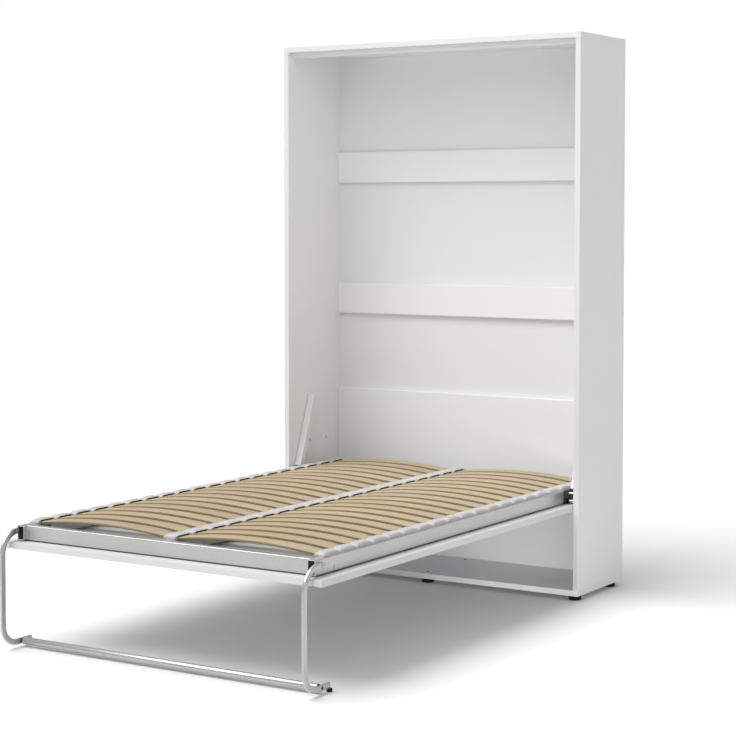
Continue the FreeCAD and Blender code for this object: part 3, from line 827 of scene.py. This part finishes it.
@dataclass
class DoorBoard:
    """The board under the bed, which closes the cabinet. Two slots let the leg's arms pass."""

    shop: Workshop
    edge: float = 0.001
    slot_in: float = 0.6145
    slot_out: float = 0.6287
    slot_length: float = 0.066
    # Painted shade on the board's inner face, as a share towards black
    back_tone: float = 0.15

    def build(self) -> None:
        """Builds the board from its outline. Its inner face is a little darker: painted shade."""
        low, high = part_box("front_panel")
        rear = low.y + self.slot_length
        right = [
            (self.slot_in, low.y), (self.slot_in, rear), (self.slot_out, rear), (self.slot_out, low.y),
            (high.x, low.y), (high.x, high.y),
        ]
        outline = right + [(-x, y) for x, y in reversed(right)]
        mesh = plate((Vector((x, y, low.z)) for x, y in outline), Vector((0, 0, high.z - low.z)))
        soften(mesh, self.edge)
        # Painted shade: the inner face is drawn darker
        tone(mesh, UP, self.back_tone)
        self.shop.piece("door_board", mesh, Body.BED, "front_panel")


@dataclass
class TubeFrame:
    """The welded steel frame with its plugs."""

    shop: Workshop
    corner: float = 0.0028
    wall: float = 0.003
    open_depth: float = 0.014
    plug_edge: float = 0.0012
    rim: float = 0.0016
    slope: float = 0.0012
    recess: float = 0.0008
    bead: float = 0.0016
    bead_short: float = 0.004
    bead_steps: int = 10
    corner_steps: int = 3
    cross_tubes: tuple[str, ...] = ("foot_tube", "head_tube")

    def build(self) -> None:
        """Builds the side rails, cross tubes, centre rail, plugs and weld beads."""
        for side in Side:
            self.side_rail(side)
        for node in self.cross_tubes:
            self.shop.piece(node + "_steel", self.tube(node, 0), Body.BED, node)
        self.shop.piece("centre_tube", self.tube("centre_rail", 1), Body.BED, "centre_rail")
        self.plugs()
        self.welds()

    def tube(self, node: str, axis: int) -> BMesh:
        """A tube with rounded corners along its length.

        Args:
            node: The CAD node whose box it fills.
            axis: The axis that it runs along, 0 or 1.

        Returns:
            The new mesh.
        """
        mesh = box_mesh(*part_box(node))
        soften(mesh, self.corner, self.corner_steps, axis)
        mesh.faces.ensure_lookup_table()
        return mesh

    def side_rail(self, side: Side) -> None:
        """A rail with rounded corners, open at both ends.

        Args:
            side: The side of the bed.
        """
        node = "side_rail_" + side.word
        mesh = self.tube(node, 1)
        for end in [f for f in mesh.faces if abs(f.normal.y) > FACING]:
            inward = Vector((0, -math.copysign(self.open_depth, end.normal.y), 0))
            bmesh.ops.inset_region(mesh, faces=[end], thickness=self.wall, depth=0.0, use_even_offset=True)
            drawn_out(mesh, [end], inward)
        self.shop.piece("rail_tube_" + side.word, mesh, Body.BED, node)

    def plugs(self) -> None:
        """Black end plugs with a rounded rim and a shallow dish."""
        plugs = []
        for low, high in solid_boxes("rail_end_plugs"):
            mesh = box_mesh(low, high)
            soften(mesh, self.plug_edge, axis=1)
            mesh.faces.ensure_lookup_table()
            front = low.y < 0
            for end in [f for f in mesh.faces if abs(f.normal.y) > FACING and (f.normal.y < 0) == front]:
                bmesh.ops.inset_region(mesh, faces=[end], thickness=self.rim, depth=0.0)
                bmesh.ops.inset_region(mesh, faces=[end], thickness=self.slope, depth=-self.recess)
            plugs.append(mesh)
        self.shop.piece("end_plugs", joined(plugs), Body.BED, "rail_end_plugs")

    def welds(self) -> None:
        """A fillet of weld up each corner between the rails and the cross tubes."""
        beads = []
        for low, high in (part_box(node) for node in self.cross_tubes):
            for x, y in product((low.x, high.x), (low.y, high.y)):
                bead = bmesh.new()
                bmesh.ops.create_cone(
                    bead, cap_ends=True, segments=self.bead_steps, radius1=self.bead, radius2=self.bead,
                    depth=high.z - low.z - self.bead_short,
                    matrix=Matrix.Translation(Vector((x, y, (low.z + high.z) / 2))),
                )
                beads.append(bead)
        self.shop.piece("weld_beads", joined(beads), Body.BED, slot="frame_silver")


@dataclass
class SlatDeck:
    """Two columns of bowed slats in plastic holders."""

    shop: Workshop
    rows: int = 20
    pitch: float = 0.0975
    first: float = -0.919
    width: float = 0.061
    thick: float = 0.0092
    crown: float = 0.02
    slat_edge: float = 0.0022
    slat_steps: int = 22
    slat_crease: float = 0.9
    low_x: float = 0.0125
    high_x: float = 0.5857
    end_z: float = 0.4208
    rail_top: float = 0.425
    holder_half: float = 0.047
    holder_crease: float = 0.75
    mouth_half: float = 0.0313
    mouth_lap: float = 0.0004
    rise: float = 0.016
    dome: float = 2.5
    side_least: float = 0.3
    centre_least: float = 0.5
    roof: float = 0.0115
    drop: float = 0.01
    lip: float = 0.012
    deep: float = 0.011
    back: float = 0.0005
    near: float = 1e-4
    skirt: float = 0.0028
    notch: Pair = (0.035, 0.0405)
    notch_rim: float = 0.0007
    dimple: float = 0.0012
    rail_inner: float = 0.5862
    rail_outer: float = 0.6112
    centre_half: float = 0.012

    def build(self) -> None:
        """Builds the slats and the three rows of holders."""
        kinds = (
            (self.slat(), "beech_slats_", "slats_", self.slat_crease),
            (self.side_holder(), "slat_caps_", "slat_holders_", self.holder_crease),
        )
        for mesh, name, node, crease in kinds:
            right = self.in_rows(mesh)
            for side, row in ((Side.LEFT, flipped_x(right.copy())), (Side.RIGHT, right)):
                self.shop.piece(name + side.word, row, Body.BED, node + side.word, ALL_SMOOTH, crease)
        middle, crease = self.in_rows(self.centre_holder()), self.holder_crease
        self.shop.piece("slat_caps_centre", middle, Body.BED, "slat_holders_centre", ALL_SMOOTH, crease)

    def in_rows(self, mesh: BMesh) -> BMesh:
        """Copies a mesh made at Y = 0 to every row and frees it.

        Args:
            mesh: The mesh.

        Returns:
            All the copies in one mesh.
        """
        rows = [mesh.copy() for _ in range(self.rows)]
        for number, row in enumerate(rows):
            bmesh.ops.translate(row, vec=(0, self.first + self.pitch * number, 0), verts=row.verts[:])
        mesh.free()
        return joined(rows)

    def slat(self) -> BMesh:
        """Bends one slat: a rounded strip spun about the centre of its bow.

        Returns:
            The mesh at Y = 0.
        """
        span = self.high_x - self.low_x
        radius = span ** 2 / (8 * self.crown) + self.crown / 2
        reach = math.asin(span / 2 / radius)
        centre = Vector(((self.low_x + self.high_x) / 2, 0, self.end_z + self.crown - radius))
        mesh = bmesh.new()
        bmesh.ops.create_grid(mesh, x_segments=1, y_segments=1, size=0.5)
        sized = Matrix.Diagonal((self.thick, self.width, 1.0, 1.0))
        bmesh.ops.transform(mesh, matrix=sized, verts=mesh.verts[:])
        bmesh.ops.bevel(
            mesh, geom=mesh.verts[:], offset=self.slat_edge, offset_type="OFFSET", segments=3,
            profile=0.5, affect="VERTICES", clamp_overlap=True, material=-1,
        )
        upright = Matrix.Rotation(math.pi / 2, 4, "Y")
        top = Matrix.Translation(centre + Vector((0, 0, radius + self.thick / 2)))
        bmesh.ops.transform(mesh, matrix=top @ upright, verts=mesh.verts[:])
        bmesh.ops.rotate(mesh, cent=centre, matrix=Matrix.Rotation(-reach, 3, "Y"), verts=mesh.verts[:])
        bmesh.ops.spin(
            mesh, geom=mesh.verts[:] + mesh.edges[:] + mesh.faces[:], cent=centre, axis=(0, 1, 0),
            angle=2 * reach, steps=self.slat_steps,
        )
        face_out(mesh)
        return mesh

    def crest(self, y: float, least: float) -> float:
        """How high a holder's back stands at a place along it, as a share of its rise."""
        share = min(1.0, abs(y) / self.holder_half)
        return least + (1.0 - least) * (1.0 - share ** self.dome) ** (1.0 / self.dome)

    def holder(self, outline: Sequence[Pair], mouths: Sequence[float], least: float) -> BMesh:
        """A holder drawn through its length, with a rounded back and open towards its slats.

        Args:
            outline: Cross-section in X and Z.
            mouths: X of each face that has a mouth.
            least: Height of its ends as a share of its rise.

        Returns:
            The mesh at Y = 0.
        """
        mesh = bmesh.new()
        half = (0.012, 0.023, self.mouth_half, 0.036, 0.04, 0.043, 0.0452, 0.0464, self.holder_half)
        stations = [-y for y in reversed(half)] + [0.0, *half]
        ends = [mesh.faces.new([mesh.verts.new((x, stations[0], z)) for x, z in outline])]
        for here, there in zip(stations, stations[1:]):
            ends = drawn_out(mesh, ends, Vector((0, there - here, 0)), here == stations[0])[0]
        face_out(mesh)
        for mouth in mouths:
            self.pocket(mesh, mouth)
        for vert in mesh.verts:
            mouth = self.roof if abs(vert.co.y) < self.mouth_half + self.near else 0.0
            lift, full = vert.co.z - self.rail_top - mouth, self.rise - mouth
            if lift > MERGE:
                vert.co.z += lift * ((self.rise * self.crest(vert.co.y, least) - mouth) / full - 1.0)
        return mesh

    def pocket(self, mesh: BMesh, mouth: float) -> None:
        """Sinks the pocket that a slat's end sits in, deeper above the rail than beside it, and marks its
        inside for painted shade.

        Args:
            mesh: The holder.
            mouth: X of the face that has the mouth.
        """
        floor, roof = self.end_z - self.mouth_lap, self.rail_top + self.roof
        # Painted shade: the pocket's inner faces are marked to be drawn nearly black
        mark = mesh.faces.layers.float.get(PAINTED_POCKET_SHADE) or mesh.faces.layers.float.new(PAINTED_POCKET_SHADE)
        inner = [
            f for f, middle in faces_at(mesh)
            if abs(f.normal.x) > FACING and abs(middle.x - mouth) < self.near
            and abs(middle.y) < self.mouth_half and floor < middle.z < roof
        ]
        way = -math.copysign(1.0, inner[0].normal.x)
        for depth, above in ((self.lip - self.back, 0.0), (self.deep, self.rail_top)):
            chosen = [f for f in inner if f.calc_center_median().z > above]
            inner, moved = drawn_out(mesh, chosen, Vector((way * depth, 0, 0)))
            for face in {f for v in moved for f in v.link_faces}:
                face[mark] = 1.0

    def mouth_side(self, start: float, edge: float, way: float) -> list[Pair]:
        """The side of a cross-section that has the mouth, from the skirt up to the back.

        Args:
            start: X where the skirt meets the rail.
            edge: X of the mouth.
            way: Side on which the holder's body lies, 1 or -1.

        Returns:
            Points in X and Z.
        """
        top, low = self.rail_top + self.rise, self.rail_top - self.drop
        roof = self.rail_top + self.roof
        return [
            (start, low), (edge + way * 0.001, low), (edge, low + 0.001), (edge, self.end_z - self.mouth_lap),
            (edge, self.rail_top + 0.001), (edge, roof), (edge + way * 0.0005, roof + 0.001),
            (edge + way * 0.0028, top - 0.0014), (edge + way * 0.0055, top - 0.0003),
            (edge + way * 0.01, top),
        ]

    def side_holder(self) -> BMesh:
        """Makes the right rail's holder.

        Returns:
            The mesh at Y = 0.
        """
        inner, outer, top = self.rail_inner - self.lip, self.rail_outer, self.rail_top + self.rise
        outline = self.mouth_side(self.rail_inner, inner, 1.0) + [
            (outer - 0.013, top - 0.0002), (outer - 0.007, top - 0.0018), (outer - 0.0024, top - 0.0056),
            (outer, top - 0.011), (outer, self.rail_top - self.skirt), (self.rail_inner, self.rail_top),
        ]
        mesh = self.holder(outline, (inner,), self.side_least)
        near, far = self.notch
        flank = [
            (middle.z, f) for f, middle in faces_at(mesh)
            if f.normal.x > FACING and -far < middle.y < -near and middle.z > self.rail_top
        ]
        lowest = [min(flank, key=lambda pair: pair[0])[1]]
        bmesh.ops.inset_region(
            mesh, faces=lowest, thickness=self.notch_rim, depth=-self.dimple, use_boundary=True,
        )
        return mesh

    def centre_holder(self) -> BMesh:
        """Makes the double holder on the centre rail.

        Returns:
            The mesh at Y = 0.
        """
        edge = self.centre_half + self.lip
        right = self.mouth_side(self.centre_half, edge, -1.0)
        left = [(-x, z) for x, z in reversed(right)]
        rail = [(-self.centre_half, self.rail_top), (self.centre_half, self.rail_top)]
        return self.holder(right + left + rail, (edge, -edge), self.centre_least)


# Leg


@dataclass
class LegFrame:
    """The folding leg: two bent flat bars, a round crossbar and its glides."""

    shop: Workshop
    inner: float = 0.6172
    outer: float = 0.626
    band: float = 0.02
    pivot: Pair = (-0.9915, 0.406)
    front: float = -1.1015
    upper_radius: float = 0.065
    lower_radius: float = 0.055
    foot_z: float = 0.021
    foot_end: float = -0.9525
    bar: Pair = (-0.9985, 0.021)
    bar_radius: float = 0.0128
    bar_wall: float = 0.0015
    bar_deep: float = 0.008
    bar_lip: Pair = (0.0006, 0.0008)
    bar_steps: int = 48
    collar: float = 0.006
    edge: float = 0.0014
    sharp: float = 1.0
    flat_over: float = 0.002
    bend_steps: int = 14
    end_steps: int = 12
    glide: tuple[Pair, ...] = (
        (0.0, 0.0), (0.0078, 0.0), (0.0094, 0.0006), (0.01, 0.002), (0.01, 0.0048), (0.0094, 0.0054),
        (0.0094, 0.0062), (0.01, 0.0068), (0.01, 0.0092), (0.0092, 0.0108), (0.0, 0.0108),
    )

    def build(self) -> None:
        """Builds both bars, the crossbar, its plugs and the glides."""
        for side in Side:
            mesh = self.bent_bar()
            if side is Side.LEFT:
                flipped_x(mesh)
            self.shop.piece("bent_leg_" + side.word, mesh, Body.LEG, "leg_" + side.word, self.flat_over)
        self.crossbar()
        self.plugs()
        self.glides()

    def bent_bar(self) -> BMesh:
        """Draws the right flat bar along its bends, and spins half of each end edge into a half disc.

        Returns:
            The new mesh.
        """
        half = self.band / 2
        bend_y = self.front + self.band
        mesh = bmesh.new()
        y, z = self.pivot
        verts = [mesh.verts.new((self.inner, y, z + h)) for h in (-half, 0.0, half)]
        start = [mesh.edges.new(pair) for pair in zip(verts, verts[1:])]
        upper = Vector((self.inner, bend_y + self.upper_radius, z - half - self.upper_radius))
        lower = Vector((self.inner, bend_y + self.lower_radius, self.foot_z + half + self.lower_radius))
        edges = self.draw(mesh, start, (0, upper.y - y, 0), upper)
        edges = self.draw(mesh, edges, (0, 0, lower.z - upper.z), lower)
        edges = self.draw(mesh, edges, (0, self.foot_end - lower.y, 0))
        foot = max(edges, key=lambda e: e.verts[0].co.z + e.verts[1].co.z)
        for edge, (end_y, end_z) in ((start[1], (y, z)), (foot, (self.foot_end, self.foot_z))):
            bmesh.ops.spin(
                mesh, geom=[*edge.verts, edge], cent=(self.inner, end_y, end_z), axis=(-1, 0, 0),
                angle=math.pi, steps=self.end_steps, use_duplicate=True,
            )
        bmesh.ops.remove_doubles(mesh, verts=mesh.verts[:], dist=MERGE)
        drawn_out(mesh, mesh.faces[:], Vector((self.outer - self.inner, 0, 0)), True)
        face_out(mesh)
        soften(mesh, self.edge, limit=self.sharp)
        return mesh

    def draw(self, mesh: BMesh, edges: list[BMEdge], way: Point, bend: Vector | None = None) -> list[BMEdge]:
        """Draws the bar's end straight on, and then round a quarter bend where there is one.

        Args:
            mesh: The bar so far.
            edges: The edges at its end.
            way: How far they move.
            bend: The middle of the bend, or None.

        Returns:
            The edges at the new end.
        """
        grown = bmesh.ops.extrude_edge_only(mesh, edges=edges)["geom"]
        verts = [g for g in grown if isinstance(g, BMVert)]
        bmesh.ops.translate(mesh, vec=way, verts=verts)
        edges = [g for g in grown if isinstance(g, BMEdge) and all(v in verts for v in g.verts)]
        if bend is None:
            return edges
        spun = bmesh.ops.spin(
            mesh, geom=verts + edges, cent=bend, axis=(1, 0, 0), angle=math.pi / 2, steps=self.bend_steps,
        )
        return [g for g in spun["geom_last"] if isinstance(g, BMEdge)]

    def crossbar(self) -> None:
        """The round tube between the legs, with turned-in ends."""
        end, r = self.inner - self.collar, self.bar_radius
        bore, (lip, back) = r - self.bar_wall, self.bar_lip
        half = ((bore, self.bar_deep), (bore, 0.0), (r - lip, 0.0), (r, back), (r, end))
        profile = half + tuple((radius, 2 * end - height) for radius, height in reversed(half[:-1]))
        mesh = turned(profile, Vector((-end, *self.bar)), Vector((1, 0, 0)), self.bar_steps)
        self.shop.piece("foot_crossbar", mesh, Body.LEG, "leg_crossbar", ALL_SMOOTH)

    def plugs(self) -> None:
        """Black plugs between the crossbar and the legs, each with a groove."""
        profile = (
            (0.0, -0.012), (0.0112, -0.012), (0.0112, 0.0), (0.0098, 0.0004), (0.0092, 0.0014),
            (0.0098, 0.0024), (0.0098, 0.0056), (0.0094, self.collar), (0.0, self.collar),
        )
        end = self.inner - self.collar
        plugs = joined(turned(profile, Vector((s * end, *self.bar)), Vector((s, 0, 0))) for s in (-1, 1))
        self.shop.piece("crossbar_end_plugs", plugs, Body.LEG, "crossbar_plugs", ALL_SMOOTH)

    def glides(self) -> None:
        """Rubber glides under the feet, with a rounded sole and two rings."""
        x = (self.inner + self.outer) / 2
        pads = joined(turned(self.glide, Vector((s * x, self.foot_end, 0.0))) for s in (-1, 1))
        self.shop.piece("foot_glides", pads, Body.LEG, "leg_glides", ALL_SMOOTH)


# Fasteners


class Head(Enum):
    """Shapes of heads, as shares of radius and height from the rim to the socket or the middle."""

    DOME = (
        (1.0, 0.0), (1.0, 0.2), (0.93, 0.5), (0.78, 0.78), (0.55, 0.96), (0.42, 1.0), (0.4, 0.96),
        (0.36, 0.35), (0.0, 0.3),
    )
    FLAT = (
        (1.0, 0.0), (1.0, 0.55), (0.94, 0.9), (0.84, 1.0), (0.46, 1.0), (0.4, 0.92), (0.32, 0.1), (0.0, 0.0),
    )
    SLOTTED = ((1.0, 0.0), (1.0, 0.3), (0.0, 0.3))


class Way(Enum):
    """The directions that heads look in, for the right half of the bed."""

    INWARD = (-1.0, 0.0, 0.0)
    OUTWARD = (1.0, 0.0, 0.0)
    BACK = (0.0, 1.0, 0.0)
    UP = (0.0, 0.0, 1.0)

    def at(self, middle: Vector) -> Vector:
        """The direction at a place, which is mirrored on the left half."""
        x, y, z = self.value
        return Vector((math.copysign(x, x * middle.x), y, z))


@dataclass(frozen=True)
class HeadRow:
    """One node of screws or bolts whose heads are seen."""

    node: str
    name: str
    body: Body
    way: Way
    radius: float
    height: float
    shape: Head = Head.DOME
    stem: float = 0.004
    slot: str = ""


HEAD_ROWS = (
    HeadRow("joining_bolts", "joining_bolt_heads", Body.CABINET, Way.INWARD, 0.007, 0.003),
    HeadRow("bracket_bolts", "bracket_bolt_heads", Body.CABINET, Way.INWARD, 0.005, 0.003),
    HeadRow("back_panel_screws", "back_screw_heads", Body.CABINET, Way.BACK, 0.005, 0.0012, Head.FLAT, 0.002),
    HeadRow("lift_plate_bolts", "lift_bolt_heads", Body.BED, Way.OUTWARD, 0.007, 0.003),
    HeadRow(
        "clamp_bolts", "clamp_bolt_heads", Body.BED, Way.OUTWARD, 0.007, 0.0015, Head.SLOTTED,
        slot="frame_silver",
    ),
    HeadRow("clamp_screws", "clamp_screw_heads", Body.BED, Way.UP, 0.003, 0.002),
    HeadRow("leg_pivot_bolts", "leg_pivot_heads", Body.BED, Way.OUTWARD, 0.007, 0.003),
    HeadRow("crossbar_screws", "crossbar_screw_heads", Body.LEG, Way.OUTWARD, 0.005, 0.002),
)


@dataclass
class Fasteners:
    """All the screw and bolt heads that are seen."""

    shop: Workshop
    rows: tuple[HeadRow, ...] = HEAD_ROWS
    stem_share: float = 0.5
    slot_share: float = 0.25
    slot_floor: float = 0.2
    rim_steps: int = 14
    head_steps: int = 28
    crease: float = 0.8

    def build(self) -> None:
        """Turns every head at the place of its CAD solid."""
        for row in self.rows:
            heads = joined([self.head(row, low, high) for low, high in solid_boxes(row.node)])
            self.shop.piece(row.name, heads, row.body, row.node, ALL_SMOOTH, self.crease, row.slot)

    def head(self, row: HeadRow, low: Vector, high: Vector) -> BMesh:
        """Makes one head with a short stem behind it.

        Args:
            row: The kind of head.
            low: The lowest corner of its solid.
            high: The highest corner of its solid.

        Returns:
            The new mesh.
        """
        place = centre_of(low, high)
        way = row.way.at(place)
        axis = max(range(3), key=lambda i: abs(way[i]))
        place[axis] = (high if way[axis] > 0 else low)[axis]
        place -= way * row.height
        stem = row.radius * self.stem_share
        profile = [(0.0, -row.stem), (stem, -row.stem), (stem, 0.0)]
        profile += [(r * row.radius, h * row.height) for r, h in row.shape.value]
        made = turned(profile, place, way, self.head_steps)
        if row.shape is Head.SLOTTED:
            made = joined([made, *self.lands(row, place, way)])
        return made

    def lands(self, row: HeadRow, place: Vector, way: Vector) -> list[BMesh]:
        """Makes the raised half discs above and below a level coin slot in a head on a side face.

        Args:
            row: The kind of head.
            place: The middle of the head's foot.
            way: The direction that it looks in.

        Returns:
            Two meshes.
        """
        reach = math.acos(self.slot_share)
        steps = range(self.rim_steps + 1)
        angles = [math.pi / 2 - reach + 2 * reach * step / self.rim_steps for step in steps]
        foot = place + way * row.height * self.slot_floor
        rise = way * row.height * (1 - self.slot_floor)
        rim = [Vector((0, math.cos(a), math.sin(a))) * row.radius for a in angles]
        return [plate((foot + Vector((0, p.y, sign * p.z)) for p in rim), rise) for sign in (-1, 1)]


# Studio


@dataclass(frozen=True)
class Lamp:
    """A lamp that isn't seen itself: a sun, or an area lamp with a width and a height."""

    name: str
    power: float
    spread: float
    place: Point
    aim: Point
    size: Pair | None = None

    def hang(self) -> None:
        """Puts the lamp in its place."""
        data = bpy.data.lights.new(self.name, "AREA" if self.size else "SUN")
        data.energy = self.power
        if self.size:
            data.shape = "RECTANGLE"
            data.size, data.size_y = self.size
            data.spread = math.radians(self.spread)
        else:
            data.angle = math.radians(self.spread)
        made = bpy.data.objects.new(self.name, data)
        made.location = self.place
        way = Vector(self.aim) - Vector(self.place)
        made.rotation_euler = way.to_track_quat("-Z", "Y").to_euler()
        made.visible_camera = False
        bpy.context.scene.collection.objects.link(made)


@dataclass
class Studio:
    """Floor, light and camera. The lamps are a very wide soft sun from above and the front left, a square
    lamp over the bed that is turned towards the inside of the cabinet, and a low strip lamp with a narrow
    beam that reaches under the bed."""

    eye: Point = (3.8539, -5.8657, 1.5069)
    yaw: float = 32.157
    pitch: float = 2.752
    lens: float = 92.71
    sensor: float = 36.0
    shift: float = -0.09
    far: float = 200.0
    sky_low: float = 0.22
    sky_high: float = 0.75
    floor_half: float = 60.0
    floor_shade: float = 0.72
    floor_glow: float = 0.05
    lamps: tuple[Lamp, ...] = (
        Lamp("soft_key", 2.95, 48.0, (-2.16, -2.04, 5.22), (0.0, 0.0, 0.0)),
        Lamp("soft_box", 5.0, 110.0, (0.35, -0.85, 2.7), (-0.15, 0.8, 0.7), (1.2, 1.2)),
        Lamp("kick_light", 0.52, 18.0, (1.6, -2.4, 0.15), (0.3, 0.9, 0.06), (0.45, 0.1)),
    )

    def build(self) -> None:
        """Sets the stage."""
        self.floor()
        self.world()
        for lamp in self.lamps:
            lamp.hang()
        self.camera()

    def floor(self) -> None:
        """A plain pale floor that glows a little, like a lit table."""
        mesh = bmesh.new()
        bmesh.ops.create_grid(mesh, x_segments=1, y_segments=1, size=self.floor_half)
        data = bpy.data.meshes.new("studio_floor")
        mesh.to_mesh(data)
        mesh.free()
        sheet = NodeSheet("studio_floor")
        soft = sheet.noise(sheet.coords(), 1.5, 2.0)
        shade = sheet.ramp(soft, (0.0, grey(self.floor_shade * 0.995)), (1.0, grey(self.floor_shade * 1.005)))
        data.materials.append(sheet.finish({
            "Base Color": shade,
            "Roughness": sheet.spread(soft, 0.85, 0.95),
            "Specular IOR Level": 0.1,
            "Emission Color": WHITE,
            "Emission Strength": self.floor_glow,
        }))
        made = bpy.data.objects.new("studio_floor", data)
        bpy.context.scene.collection.objects.link(made)

    def world(self) -> None:
        """A surround that the camera sees as white, and whose own light is strongest overhead."""
        world = bpy.data.worlds.new("studio_sky")
        world.use_nodes = True
        tree, nodes = Tree(world.node_tree), world.node_tree.nodes
        height = tree.axes(tree.node("TexCoord").outputs["Generated"])[2]
        sky = tree.spread(height, self.sky_low, self.sky_high, (0.0, 1.0))
        tree.feed(nodes["Background"], {"Color": sky, "Strength": 1.0})
        light = nodes["Background"].outputs["Background"]
        white = tree.node("Background", {"Color": WHITE}).outputs["Background"]
        seen = tree.node("LightPath").outputs["Is Camera Ray"]
        both = tree.node("MixShader", {"Fac": seen, 1: light, 2: white}).outputs["Shader"]
        tree.feed(nodes["World Output"], {"Surface": both})
        bpy.context.scene.world = world

    def camera(self) -> None:
        """The camera at the photograph's angle."""
        scene = bpy.context.scene
        data = bpy.data.cameras.new("photo_camera")
        data.sensor_width = self.sensor
        data.lens = self.lens
        data.shift_y = self.shift
        data.clip_end = self.far
        made = bpy.data.objects.new("photo_camera", data)
        made.location = self.eye
        made.rotation_euler = (math.radians(90.0 - self.pitch), 0.0, math.radians(self.yaw))
        scene.collection.objects.link(made)
        scene.camera = made
        scene.view_settings.view_transform = "Standard"


def main() -> None:
    """Builds the bed's looks in order."""
    logging.basicConfig(level=logging.INFO, format="%(name)s: %(message)s")
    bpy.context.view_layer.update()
    shop = Workshop()
    for kind in (Cabinet, SpringUnits, DoorBoard, TubeFrame, SlatDeck, LegFrame, Fasteners):
        kind(shop).build()
        LOG.info("%s is done", kind.__name__)
    shop.dress_nodes()
    Studio().build()


if __name__ == "__main__":
    main()
